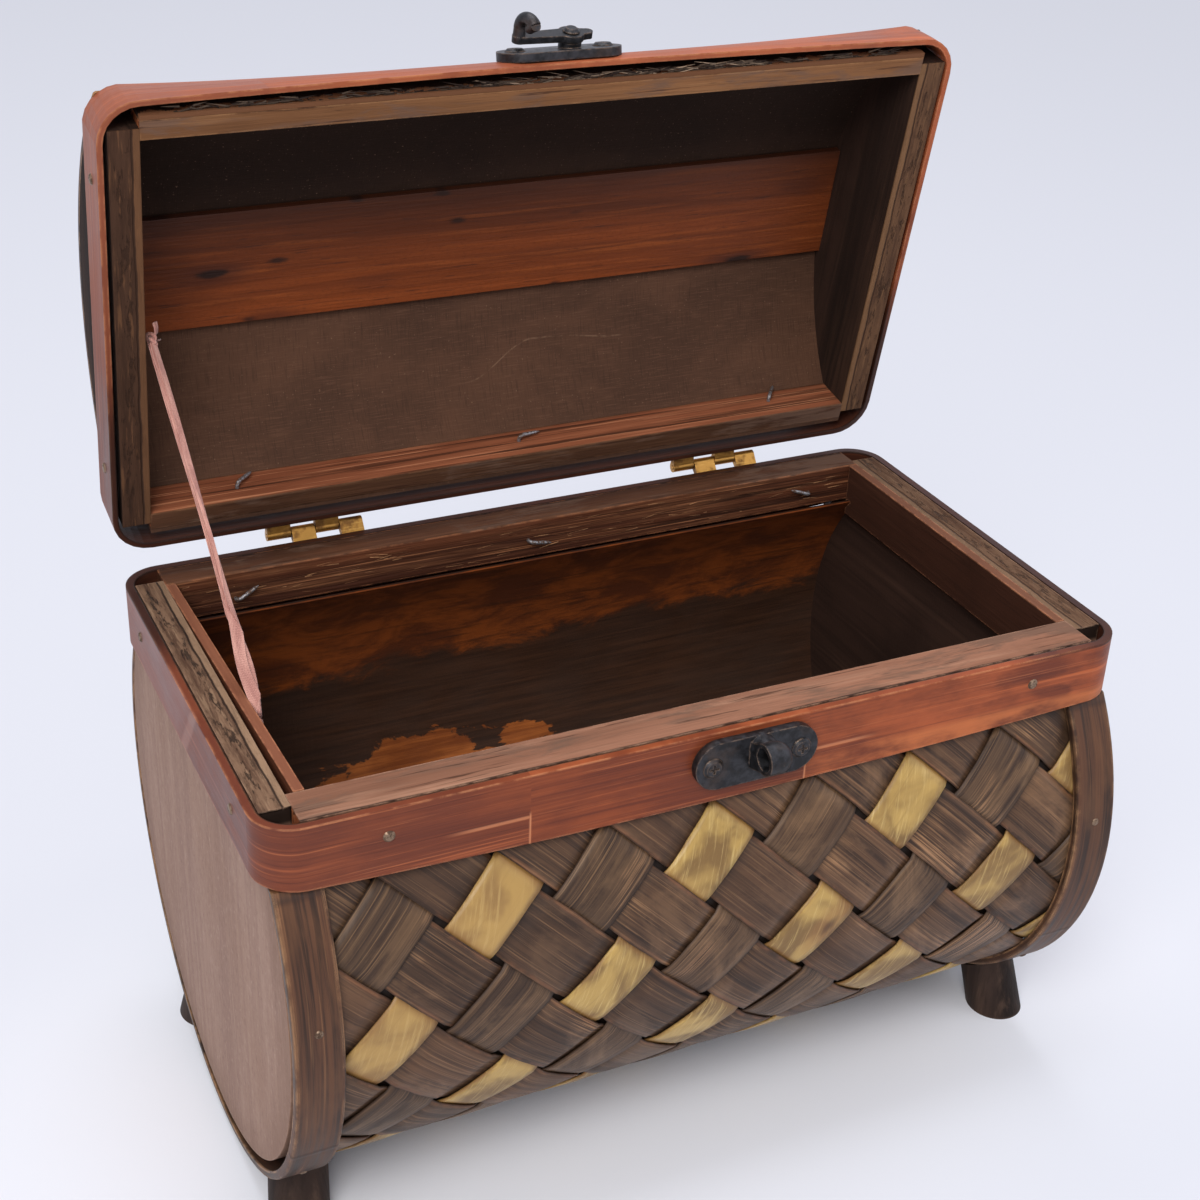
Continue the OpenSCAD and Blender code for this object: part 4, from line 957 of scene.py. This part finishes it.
def mesh_from(work, name, place=None):
    return close(work, bpy.data.meshes.new(name), place)


def evaluated_mesh(carrier):
    """The mesh that a carrier's modifiers give, without the modifiers."""
    depsgraph = bpy.context.evaluated_depsgraph_get()
    mesh = bpy.data.meshes.new_from_object(carrier.evaluated_get(depsgraph))
    bpy.data.objects.remove(carrier)
    return mesh


def outward(mesh):
    """Turns the faces of closed shells outwards."""
    work = bmesh.new()
    work.from_mesh(mesh)
    return close(work, mesh)


def grown(tree, name, inputs, solidify=None, place=None):
    """Runs a geometry tree with these inputs, by their names, and returns its mesh."""
    carrier = linked(name + "_carrier", bpy.data.meshes.new(name + "_carrier"))
    modifier = carrier.modifiers.new("tree", "NODES")
    modifier.node_group = tree
    for item in tree.interface.items_tree:
        if item.item_type == "SOCKET" and item.in_out == "INPUT" and item.name in inputs:
            modifier[item.identifier] = inputs[item.name]
    if solidify:
        thick = carrier.modifiers.new("thick", "SOLIDIFY")
        thick.thickness = solidify
        thick.offset = 0
    mesh = evaluated_mesh(carrier)
    if place is not None:
        mesh.transform(place)
    return outward(mesh)


def joined(name, meshes):
    """One mesh of several."""
    work = bmesh.new()
    for mesh in meshes:
        work.from_mesh(mesh)
    whole = bpy.data.meshes.new(name)
    work.to_mesh(whole)
    work.free()
    return whole


def sweep(work, points, radii, sides=10, flat=1.0):
    """Adds a closed tube along the points. flat under 1 makes it a strap."""
    last = len(points) - 1
    across = None
    rings = []
    for i, (point, radius) in enumerate(zip(points, radii)):
        ahead = (points[min(i + 1, last)] - points[max(i - 1, 0)]).normalized()
        across = across or ahead.orthogonal()
        across = (across - ahead * across.dot(ahead)).normalized()
        side = ahead.cross(across)
        turns = (2 * math.pi * k / sides for k in range(sides))
        rings.append([work.verts.new(point + radius * (across * math.cos(a)
                                                       + side * math.sin(a) * flat))
                      for a in turns])
    for low, high in zip(rings, rings[1:]):
        for k in range(sides):
            face = work.faces.new((low[k], low[(k + 1) % sides],
                                   high[(k + 1) % sides], high[k]))
            face.smooth = True
    work.faces.new(list(reversed(rings[0])))
    work.faces.new(rings[-1])


def start_tree(name, inputs):
    """A geometry tree with these inputs. What an input starts as says its kind."""
    kinds = {float: "NodeSocketFloat", int: "NodeSocketInt", type(None): "NodeSocketMaterial"}
    tree = bpy.data.node_groups.new(name, "GeometryNodeTree")
    for label, value in inputs.items():
        socket = tree.interface.new_socket(name=label, in_out="INPUT",
                                           socket_type=kinds[type(value)])
        if value is not None:
            socket.default_value = value
    tree.interface.new_socket(name="Geometry", in_out="OUTPUT",
                              socket_type="NodeSocketGeometry")
    return tree


def end_tree(g, geometry, given):
    """Ends a tree in smooth faces of the given material."""
    smooth = g.add("GeometryNodeSetShadeSmooth", {"Geometry": geometry})
    dyed = g.add("GeometryNodeSetMaterial", {"Geometry": smooth, "Material": given["Material"]})
    g.add("NodeGroupOutput", {"Geometry": dyed})


# ---- woven skin ----
def woven_skin_tree():
    """Strips of one direction on the bias, over one crossing and under the next, wrapped
    round the box's long axis."""
    tree = start_tree("Woven Skin", {
        "Strips": 9, "First": -9.0, "Step": 1.0, "Pitch": 0.0232, "Width": 0.02, "At": 0.0,
        "Cross": 0.0, "Half length": 0.12, "Half around": 0.18, "Radius": 0.083, "Lean": 1.0,
        "Up": -1.0, "Over": 1.0, "Lift": 0.0005, "Crown": 0.0005, "Reach": 0.45,
        "Steps along": 200, "Fray": 0.0003, "Seed": 0.0, "Material": None})
    g = Wiring(tree)
    given = g.outputs("NodeGroupInput")
    line = g.add("GeometryNodeMeshLine", {"Count": given["Strips"], "Offset": (1, 0, 0)})
    index = g.add("GeometryNodeInputIndex")
    number = given["First"] + index * given["Step"]
    tagged = g.keep(line, "strip", number)
    grid = g.add("GeometryNodeMeshGrid", {"Size X": given["Reach"], "Size Y": 1.0,
                                          "Vertices X": given["Steps along"], "Vertices Y": 9})
    position = g.add("GeometryNodeInputPosition")
    flat_grid = g.keep(grid, "flat", position, "FLOAT_VECTOR")
    copies = g.add("GeometryNodeInstanceOnPoints", {"Points": tagged, "Instance": flat_grid})
    mat = g.add("GeometryNodeRealizeInstances", {"Geometry": copies})

    strip = g.add("GeometryNodeInputNamedAttribute", {"Name": "strip"}, data_type="FLOAT")
    flat = g.add("GeometryNodeInputNamedAttribute", {"Name": "flat"},
                 data_type="FLOAT_VECTOR")
    u, v = g.split(flat)[:2]
    side = g.math("SIGN", v)
    strips_apart, sides_apart = 7.31, 2.9
    apart = strip * strips_apart + (given["Seed"] + side * sides_apart)
    wobble = g.add("ShaderNodeTexNoise", {"Vector": g.vector(u * 60, apart, 0.3), "Scale": 1.0,
                                          "Detail": 3.0})
    edge = (wobble - 0.5) * (given["Fray"] * 4.0) * (v * 2)
    across = v * given["Width"] + edge
    w = given["At"] + strip * given["Pitch"] + across
    x = (u + w) / ROOT2
    s = given["Lean"] * ((u - w) / ROOT2)
    phase = (u - given["Cross"]) / given["Pitch"] + strip
    wave = g.math("COSINE", phase * math.pi) * given["Over"]
    steepness, bow_fall = 6.0, 2.6
    plateau = g.clip(wave * steepness, -1.0, 1.0)
    rise = g.most(wave, 0.0)
    bow = 1.0 - v * v * bow_fall
    uneven = g.add("ShaderNodeTexNoise", {"Vector": g.vector(u * 38, v * 1.5, strip * 3.1),
                                          "Scale": 1.0, "Detail": 2.0})
    height = plateau * given["Lift"] + rise * bow * given["Crown"]
    height = height + (uneven - 0.5) * (given["Crown"] * 0.7)

    slack = 2.5 * MM
    past = g.most(abs(x) - given["Half length"], abs(s) - given["Half around"])
    outer_face_shade = g.math("GREATER_THAN", past, slack)
    cut = g.add("GeometryNodeDeleteGeometry", {"Geometry": mat, "Selection": outer_face_shade},
                domain="POINT")
    x = g.clip(x, given["Half length"] * -1.0, given["Half length"])
    s = g.clip(s, given["Half around"] * -1.0, given["Half around"])
    radius = given["Radius"] + height
    angle = s / given["Radius"]
    target = g.vector(x, radius * g.math("SINE", angle) * -1.0,
                      given["Up"] * (radius * g.math("COSINE", angle)))
    wrapped = g.add("GeometryNodeSetPosition", {"Geometry": cut, "Position": target})
    done = g.keep(wrapped, "UVMap", g.vector(u, across, 0.0), "FLOAT2", "CORNER")
    # dip grows where a strip goes under its neighbours; the finishes darken it there as painted shade.
    for name, value in (("rim", abs(v * 2.0)), ("dip", (1.0 - plateau) * 0.5)):
        done = g.keep(done, name, value)
    end_tree(g, done, given)
    return tree


def woven_strips(tree, name, finish, kind, skin, body, node):
    """One node's strips. kind is 0 for gold, 1 for dark, 2 for falling; skin gives the radius,
    the half length round the axis, the side it bulges to and the place of a known crossing."""
    size = sizes()
    pitch = size.strip_pitch
    falling = kind == 2
    rise_at = (skin["mark_x"] - skin["mark_s"]) / ROOT2
    fall_at = (skin["mark_x"] + skin["mark_s"]) / ROOT2
    at, cross = (fall_at, rise_at) if falling else (rise_at, fall_at)
    reach = (WEAVE_HALF_X + skin["half_s"]) / ROOT2
    first = math.floor((-reach - at) / pitch)
    last = math.ceil((reach - at) / pitch)
    step = 1 if falling else 2
    if not falling and first % 2 != kind:
        first += 1
    width = size.falling_width if falling else (size.gold_width, size.dark_width)[kind]
    mesh = grown(tree, name, {
        "Strips": (last - first) // step + 1, "First": float(first), "Step": float(step),
        "Pitch": pitch, "Width": width, "At": at, "Cross": cross, "Half length": WEAVE_HALF_X,
        "Half around": skin["half_s"], "Radius": skin["radius"],
        "Lean": -1.0 if falling else 1.0, "Up": skin["up"], "Over": -1.0 if falling else 1.0,
        "Lift": WEAVE_LIFT, "Crown": size.strip_crown, "Reach": 2 * reach,
        "Steps along": int(2 * reach / WEAVE_STEP), "Seed": skin["seed"] + kind,
        "Material": finishes[finish]}, size.strip_thickness, skin["place"])
    piece = riding(name, mesh, finish, body)
    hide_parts(node)
    return piece


# ---- small repeated pieces ----
def splinter_tree():
    """Thin slivers scattered on a flat patch, lying nearly along it and lifting at their tips."""
    tree = start_tree("Splinters", {
        "Count": 100.0, "Size X": 0.2, "Size Y": 0.01, "Length": 0.006, "Thickness": 0.0002,
        "Lift": 0.1, "Spread": 0.25, "Paleness": 0.5, "Seed": 1, "Material": None})
    g = Wiring(tree)
    given = g.outputs("NodeGroupInput")
    patch = g.add("GeometryNodeMeshGrid", {"Size X": given["Size X"], "Size Y": given["Size Y"],
                                           "Vertices X": 2, "Vertices Y": 2})
    density = given["Count"] / (given["Size X"] * given["Size Y"])
    spots = g.add("GeometryNodeDistributePointsOnFaces",
                  {"Mesh": patch, "Density": density, "Seed": given["Seed"]})

    def chance(low, high, number):
        return g.add("FunctionNodeRandomValue", {2: low, 3: high, "Seed": number}, out=1,
                     data_type="FLOAT")

    shade = g.math("POWER", chance(0.0, 1.0, 11), 2.0) * (given["Paleness"] * 2.0)
    tagged = g.keep(spots, "shade", shade)
    sliver = g.add("GeometryNodeMeshCone", {"Vertices": 5, "Radius Top": 0.12,
                                            "Radius Bottom": 1.0, "Depth": 1.0})
    backwards = g.math("GREATER_THAN", chance(0.0, 1.0, 5), 0.5) * math.pi
    spin = chance(-1.0, 1.0, 3) * given["Spread"] + backwards
    lean = math.pi / 2 - chance(0.1, 1.0, 7) * given["Lift"]
    thick = given["Thickness"] * chance(0.5, 1.3, 13)
    copies = g.add("GeometryNodeInstanceOnPoints",
                   {"Points": tagged, "Instance": sliver, "Rotation": g.vector(0.0, lean, spin),
                    "Scale": g.vector(thick, thick, given["Length"] * chance(0.3, 1.0, 9))})
    real = g.add("GeometryNodeRealizeInstances", {"Geometry": copies})
    end_tree(g, real, given)
    return tree


def nail_row_tree():
    """Domed nail heads on an arc round the X axis."""
    tree = start_tree("Nail Row", {
        "Count": 5, "Place X": 0.1, "Radius": 0.08, "From": -1.0, "To": 1.0, "Head": 0.0013,
        "Material": None})
    g = Wiring(tree)
    given = g.outputs("NodeGroupInput")
    line = g.add("GeometryNodeMeshLine", {"Count": given["Count"], "Offset": (0, 0, 0)})
    index = g.add("GeometryNodeInputIndex")
    share = index / (given["Count"] - 1.0)
    angle = given["From"] + share * (given["To"] - given["From"])
    spot = g.vector(given["Place X"], given["Radius"] * g.math("SINE", angle),
                    given["Radius"] * g.math("COSINE", angle))
    points = g.add("GeometryNodeSetPosition", {"Geometry": line, "Position": spot})
    head = g.add("GeometryNodeMeshUVSphere", {"Segments": 16, "Rings": 8,
                                              "Radius": given["Head"]})
    copies = g.add("GeometryNodeInstanceOnPoints",
                   {"Points": points, "Instance": head,
                    "Rotation": g.vector(angle * -1.0, 0.0, 0.0), "Scale": (1.0, 1.0, 0.42)})
    real = g.add("GeometryNodeRealizeInstances", {"Geometry": copies})
    end_tree(g, real, given)
    return tree


# ---- operators ----
class DITTY_OT_finishes(bpy.types.Operator):
    """Makes every finish and gives it to the solids of the frame"""
    bl_idname = "ditty.finishes"
    bl_label = "Finish the solids"

    def execute(self, context):
        finishes.update(make_finishes())
        for name, node in frame["nodes"].items():
            node.data.materials.clear()
            node.data.materials.append(finishes[finish_for(name)])
        return {"FINISHED"}


class DITTY_OT_woven_skin(bpy.types.Operator):
    """Weaves the strips of the body and of the lid"""
    bl_idname = "ditty.woven_skin"
    bl_label = "Weave the skin"

    def execute(self, context):
        tree = woven_skin_tree()
        body_r = BARREL_R - WEAVE_UNDER
        dome_r = DOME_R - WEAVE_UNDER
        skins = {
            "base": {"radius": body_r, "up": -1.0, "mark_x": -6.8 * MM, "mark_s": 161.6 * MM,
                     "half_s": body_r * (math.pi / 2 + math.asin(BASE_SKIN_TOP / body_r)),
                     "place": BASE_FRAME @ Matrix.Translation((0, 0, BARREL_Z)), "seed": 4.0},
            "lid": {"radius": dome_r, "up": 1.0, "mark_x": 0.0, "mark_s": 0.0,
                    "half_s": dome_r * math.acos(LID_SKIN_END / dome_r),
                    "place": LID_FRAME @ Matrix.Translation((0, 0, DOME_Z)), "seed": 9.0},
        }
        for body, skin in skins.items():
            for kind, colour in enumerate(("gold", "dark", "falling")):
                woven_strips(tree, f"{body}_woven_{colour}", f"{colour}_strip", kind, skin,
                             body, f"{body}_weave_{colour}")
        return {"FINISHED"}


class DITTY_OT_fasteners(bpy.types.Operator):
    """Nails the edge strips down and bends the nail points that come through the battens"""
    bl_idname = "ditty.fasteners"
    bl_label = "Drive the nails"

    def execute(self, context):
        self.nail_strips()
        base_face = box_in("base_batten_back", "base")[0].y
        lid_face = box_in("lid_batten_back", "lid")[0].y
        self.bend_nails("base_bent_nails", "base", base_face,
                        ((-102, -8.8, 0.5), (-3, -6.8, -0.2), (104, -7.7, 2.8)))
        self.bend_nails("lid_bent_nails", "lid", lid_face,
                        ((-94.5, 6.5, 0.7), (2, 7.8, 0.2), (97.7, 8.2, 0.9)))
        return {"FINISHED"}

    def nail_strips(self):
        """Rows of nail heads on the edge strips, at even angles from straight up."""
        tree = nail_row_tree()
        rows = {"base": (BARREL_R, BARREL_Z, 5, 83, 277), "lid": (DOME_R, DOME_Z, 3, -36, 36)}
        for body, (radius, centre_z, count, start, stop) in rows.items():
            meshes = [grown(tree, f"{body}_nails_{side}", {
                "Count": count, "Place X": side * EDGE_X, "Radius": radius - 0.1 * MM,
                "From": math.radians(start), "To": math.radians(stop),
                "Head": sizes().nail_head, "Material": finishes["nail_brown"]},
                place=FRAMES[body] @ Matrix.Translation((0, 0, centre_z))) for side in (-1, 1)]
            riding(f"{body}_strip_nails", joined(f"{body}_strip_nails", meshes), "nail_brown",
                   body)

    def bend_nails(self, name, body, face_y, spots):
        """Nail points that stand out of a batten's face and are beaten over along it.
        Each spot is a place along the box and up it in millimetres, and a direction."""
        work = bmesh.new()
        bend, length, radius = 1.5 * MM, 6.5 * MM, 0.62 * MM
        stand, sunk = 0.6 * MM, 1.5 * MM
        for x, z, way in spots:
            root = Vector((x * MM, face_y, z * MM))
            out = Vector((0, -1, 0))
            along = Vector((math.cos(way), 0, math.sin(way)))
            centre = root + out * stand + along * bend
            points = [root - out * sunk]
            points += [centre + bend * (out * math.sin(a) - along * math.cos(a))
                       for a in (math.radians(d) for d in range(0, 91, 15))]
            points += [centre + out * bend * (1 - 0.35 * t) + along * length * t
                       for t in (0.25, 0.5, 0.8, 1.0)]
            taper = [radius] * (len(points) - 2) + [radius * 0.8, radius * 0.25]
            sweep(work, points, taper)
        riding(name, mesh_from(work, name, FRAMES[body]), "nail_steel", body)


class DITTY_OT_torn_wood(bpy.types.Operator):
    """Raises splinters on the rough batten and frays the weave's ends in the lid's mouth"""
    bl_idname = "ditty.torn_wood"
    bl_label = "Raise the splinters"

    def execute(self, context):
        tree = splinter_tree()
        low, high = box_in("base_batten_back", "base")
        upright = Matrix.Rotation(math.pi / 2, 4, "X")
        sunk, end_margin, edge_margin = 0.12 * MM, 14 * MM, 3 * MM
        middle = Vector((0, low.y + sunk, (low.z + high.z) / 2))
        mesh = grown(tree, "batten_splinters", {
            "Count": float(sizes().splinters), "Size X": high.x - low.x - end_margin,
            "Size Y": high.z - low.z - edge_margin, "Length": 8 * MM, "Thickness": 0.16 * MM,
            "Lift": 0.09, "Spread": 0.16, "Paleness": 0.45, "Seed": 7,
            "Material": finishes["splinter"]},
            place=BASE_FRAME @ Matrix.Translation(middle) @ upright)
        riding("base_batten_splinters", mesh, "splinter", "base")
        self.fray_ends(tree)
        return {"FINISHED"}

    def fray_ends(self, tree):
        """The weave's torn ends between the front batten and the rim band, in two shades."""
        batten = box_in("lid_batten_front", "lid")[0]
        liner = box_in("lid_liner", "lid")[0]
        over = Matrix.Rotation(math.pi, 4, "X")
        sunk = 0.9 * MM
        gap_y = (batten.y + liner.y) / 2 - sunk
        beds = (("dark", 0.0, 226 * MM, 420.0, 7 * MM, 0.16, 3),
                ("pale", 22 * MM, 96 * MM, 110.0, 9 * MM, 1.0, 5))
        meshes = []
        for shade, x, span, count, length, pale, seed in beds:
            spot = Vector((x, gap_y, sunk))
            meshes.append(grown(tree, f"frayed_{shade}", {
                "Count": count, "Size X": span, "Size Y": 2.6 * MM, "Length": length,
                "Thickness": 0.3 * MM, "Lift": 0.1, "Spread": 0.3, "Paleness": pale,
                "Seed": seed, "Material": finishes["torn_ends"]},
                place=LID_FRAME @ Matrix.Translation(spot) @ over))
        riding("lid_frayed_ends", joined("lid_frayed_ends", meshes), "torn_ends", "lid")


class DITTY_OT_ribbon(bpy.types.Operator):
    """Makes the folded ribbon that holds the lid and its knot"""
    bl_idname = "ditty.ribbon"
    bl_label = "Tie the ribbon"

    def execute(self, context):
        knot_low, knot_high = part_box("ribbon_knot")
        tack_low, tack_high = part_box("ribbon_tack")
        top = (Vector(knot_low) + Vector(knot_high)) / 2
        foot = (Vector(tack_low) + Vector(tack_high)) / 2
        self.hang_ribbon(top, foot + Vector((0.6 * MM, 0, 0)))
        self.tie_knot()
        self.tack_end()
        return {"FINISHED"}

    def hang_ribbon(self, top, foot):
        """A ribbon pleated lengthwise: each stretch of it shows a width, and has as many folds
        as take up the rest."""
        full = sizes().ribbon_width
        rows, columns = 90, 48
        tightness, fold_shift, fold_depth = 0.97, 0.9, 0.24 * MM
        run = foot - top
        reach = run.length
        down = run.normalized()
        face = Vector((1, -0.35, 0.1))
        face = (face - down * face.dot(down)).normalized()
        work = bmesh.new()
        layer = work.loops.layers.uv.new("UVMap")
        grid = []
        for i in range(rows + 1):
            t = i / rows
            shown = 2.3 + 3.4 * math.exp(-((t - 0.86) / 0.1) ** 2) + 0.5 * math.sin(9 * t)
            shown = shown * MM * (1 - 0.35 * max(0.0, (t - 0.95) / 0.05))
            spin = 0.35 * math.sin(5.2 * t + 0.6) + 0.5 + 1.0 * t
            out = face * math.cos(spin) + down.cross(face) * math.sin(spin)
            side = down.cross(out)
            centre = top + run * t + Vector((0.4, -1.0, -0.6)) * MM * math.sin(math.pi * t)
            depth = fold_depth * full / shown
            row = []
            for j in range(columns + 1):
                c = 2 * j / columns - 1
                fold = math.pi * c * full / (2 * shown) + fold_shift
                wave = math.asin(tightness * math.sin(fold))
                across = shown * wave / math.pi
                row.append(work.verts.new(centre + side * across + out * c * depth))
            grid.append(row)
        for i in range(rows):
            for j in range(columns):
                corners = ((i, j), (i + 1, j), (i + 1, j + 1), (i, j + 1))
                cell = work.faces.new([grid[a][b] for a, b in corners])
                cell.smooth = True
                for loop, (a, b) in zip(cell.loops, corners):
                    loop[layer].uv = (a / rows * reach, b / columns * full)
        mesh = bpy.data.meshes.new("ribbon")
        work.to_mesh(mesh)
        work.free()
        carrier = new_piece("ribbon", mesh, "ribbon")
        thick = carrier.modifiers.new("thick", "SOLIDIFY")
        thick.thickness = 0.12 * MM
        thick.offset = 0
        piece = new_piece("ribbon", outward(evaluated_mesh(carrier)), "ribbon")
        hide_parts("stay_ribbon")
        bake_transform(piece)

    def tie_knot(self):
        """An overhand knot against the lid's end panel, with two short tails."""
        low, high = box_in("ribbon_knot", "lid")
        middle = (low + high) / 2
        turn = Matrix.Rotation(math.radians(70), 3, "Y")
        work = bmesh.new()
        steps, strand = 72, 0.62
        loop = []
        for k in range(steps + 1):
            a = 2 * math.pi * k / steps
            spread = 2 + math.cos(3 * a)
            loop.append(middle + turn @ Vector((spread * math.cos(2 * a),
                                                spread * math.sin(2 * a),
                                                1.2 * math.sin(3 * a))) * strand * MM)
        sweep(work, loop, [strand * MM] * len(loop), 8)
        for tip, width in ((Vector((1.2, -5.2, 1.2)), 1.1), (Vector((2.6, 3.0, 4.4)), 0.9)):
            curl = [middle + tip * MM * t + Vector((0.8, 0, -0.6)) * MM * math.sin(3 * t)
                    for t in (0.0, 0.25, 0.5, 0.75, 1.0)]
            sweep(work, curl, [width * MM * s for s in (0.6, 0.8, 1.0, 1.1, 1.2)], 10, 0.22)
        mesh = mesh_from(work, "knot", LID_FRAME)
        piece = riding("tied_knot", mesh, "knotted_ribbon", "lid")
        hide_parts("ribbon_knot")

    def tack_end(self):
        """The ribbon's other end, gathered in folds and pressed to the inside of the strip."""
        low, high = box_in("ribbon_tack", "base")
        middle = (low + high) / 2
        work = bmesh.new()
        for tip, width in (((0.2, -1.8, -3.6), 1.1), ((0.5, 1.5, -4.4), 1.2),
                           ((0.9, -0.2, -3.0), 0.9), ((0.5, 0.3, 2.2), 1.0)):
            curl = [middle + Vector(tip) * MM * t + Vector((0.5, 0, 0)) * MM * math.sin(3 * t)
                    for t in (0.0, 0.25, 0.5, 0.75, 1.0)]
            sweep(work, curl, [width * MM * s for s in (0.7, 0.9, 1.0, 1.05, 0.8)], 10, 0.3)
        mesh = mesh_from(work, "tacked_end", BASE_FRAME)
        piece = riding("tacked_end", mesh, "knotted_ribbon", "base")
        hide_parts("ribbon_tack")


class DITTY_OT_stage(bpy.types.Operator):
    """Lays the pale floor, hangs the lamps and places the camera"""
    bl_idname = "ditty.stage"
    bl_label = "Set the stage"

    def execute(self, context):
        self.lay_floor()
        self.hang_lamps()
        self.place_camera()
        bpy.context.scene.view_settings.view_transform = "Standard"
        return {"FINISHED"}

    def pale_to_eye(self, wiring):
        """1 where a ray comes from the camera, a gloss or a glass."""
        path = wiring.outputs("ShaderNodeLightPath")
        return wiring.most(path["Is Camera Ray"],
                           wiring.most(path["Is Glossy Ray"], path["Is Transmission Ray"]))

    def lay_floor(self):
        work = bmesh.new()
        bmesh.ops.create_grid(work, x_segments=1, y_segments=1, size=4.0)
        floor = linked("floor", mesh_from(work, "floor"))
        f = Finish("pale_floor")
        shaded = f.add("ShaderNodeBsdfDiffuse", {"Color": (236, 238, 246)})
        glow = f.add("ShaderNodeEmission", {"Color": (226, 228, 240)})
        x, y = f.split(f.place())[:2]
        near = f.ease(f.math("SQRT", x * x * 0.3 + y * y), 160 * MM, 60 * MM)
        amount = self.pale_to_eye(f) * (0.7 - near * 0.7)
        mix = f.add("ShaderNodeMixShader", {0: amount, 1: shaded, 2: glow})
        floor.data.materials.append(f.shown(mix))

    def hang_lamps(self):
        world = bpy.context.scene.world or bpy.data.worlds.new("World")
        bpy.context.scene.world = world
        world.use_nodes = True
        w = Wiring(world.node_tree)
        w.tree.nodes.clear()
        light = w.add("ShaderNodeBackground", {"Color": (238, 240, 248), "Strength": 0.4})
        pale = w.add("ShaderNodeBackground", {"Color": (226, 228, 240), "Strength": 1.0})
        mix = w.add("ShaderNodeMixShader", {0: self.pale_to_eye(w), 1: light, 2: pale})
        w.add("ShaderNodeOutputWorld", {"Surface": mix})
        lamps = (
            ("key_lamp", (-0.75, -0.95, 1.25), 0.8, 20.0, (255, 252, 247)),
            ("fill_lamp", (1.0, -0.6, 0.7), 0.9, 3.0, (246, 248, 255)),
            ("top_lamp", (0.0, 0.25, 1.5), 0.9, 11.0, (252, 252, 255)),
        )
        for name, place, size, power, colour in lamps:
            lamp = bpy.data.lights.new(name, "AREA")
            lamp.size = size
            lamp.energy = power
            lamp.color = linear(*colour)[:3]
            hung = linked(name, lamp)
            hung.location = place
            aim = Vector((0, 0, 0.14)) - Vector(place)
            hung.rotation_euler = aim.to_track_quat("-Z", "Y").to_euler()

    def place_camera(self):
        turn, rise, roll = (math.radians(degrees) for degrees in (-26.51, 28.92, 2.51))
        back = Vector((math.sin(turn) * math.cos(rise), -math.cos(turn) * math.cos(rise),
                       math.sin(rise)))
        right = (-back).cross(Vector((0, 0, 1))).normalized()
        up = right.cross(-back)
        tilted_right = right * math.cos(roll) + up * math.sin(roll)
        tilted_up = up * math.cos(roll) - right * math.sin(roll)
        camera = bpy.data.cameras.new("camera")
        camera.sensor_width = 36
        camera.lens = 58.77
        camera.clip_start = 0.05
        seat = linked("camera", camera)
        axes = Matrix((tilted_right, tilted_up, back)).transposed().to_4x4()
        seat.matrix_world = Matrix.Translation((-0.2378, -0.4751, 0.4478)) @ axes
        bpy.context.scene.camera = seat


class DITTY_PT_panel(bpy.types.Panel):
    """Lists the sizes, the colours and the steps of the ditty box"""
    bl_label = "Ditty Box"
    bl_idname = "DITTY_PT_panel"
    bl_space_type = "VIEW_3D"
    bl_region_type = "UI"
    bl_category = "Ditty Box"

    def draw(self, context):
        for group in (context.scene.ditty_sizes, context.scene.ditty_colours):
            for key in group.__annotations__:
                self.layout.prop(group, key)
        for step in STEPS:
            self.layout.operator(step.bl_idname)


STEPS = (DITTY_OT_stage, DITTY_OT_finishes, DITTY_OT_ribbon, DITTY_OT_woven_skin,
         DITTY_OT_fasteners, DITTY_OT_torn_wood)
CLASSES = (DittySizes, DittyColours) + STEPS + (DITTY_PT_panel,)


def register():
    for cls in CLASSES:
        bpy.utils.register_class(cls)
    bpy.types.Scene.ditty_sizes = PointerProperty(type=DittySizes)
    bpy.types.Scene.ditty_colours = PointerProperty(type=DittyColours)


def unregister():
    del bpy.types.Scene.ditty_colours
    del bpy.types.Scene.ditty_sizes
    for cls in reversed(CLASSES):
        bpy.utils.unregister_class(cls)


def main():
    register()
    for step in STEPS:
        group, name = step.bl_idname.split(".")
        getattr(getattr(bpy.ops, group), name)()


if __name__ == "__main__":
    main()
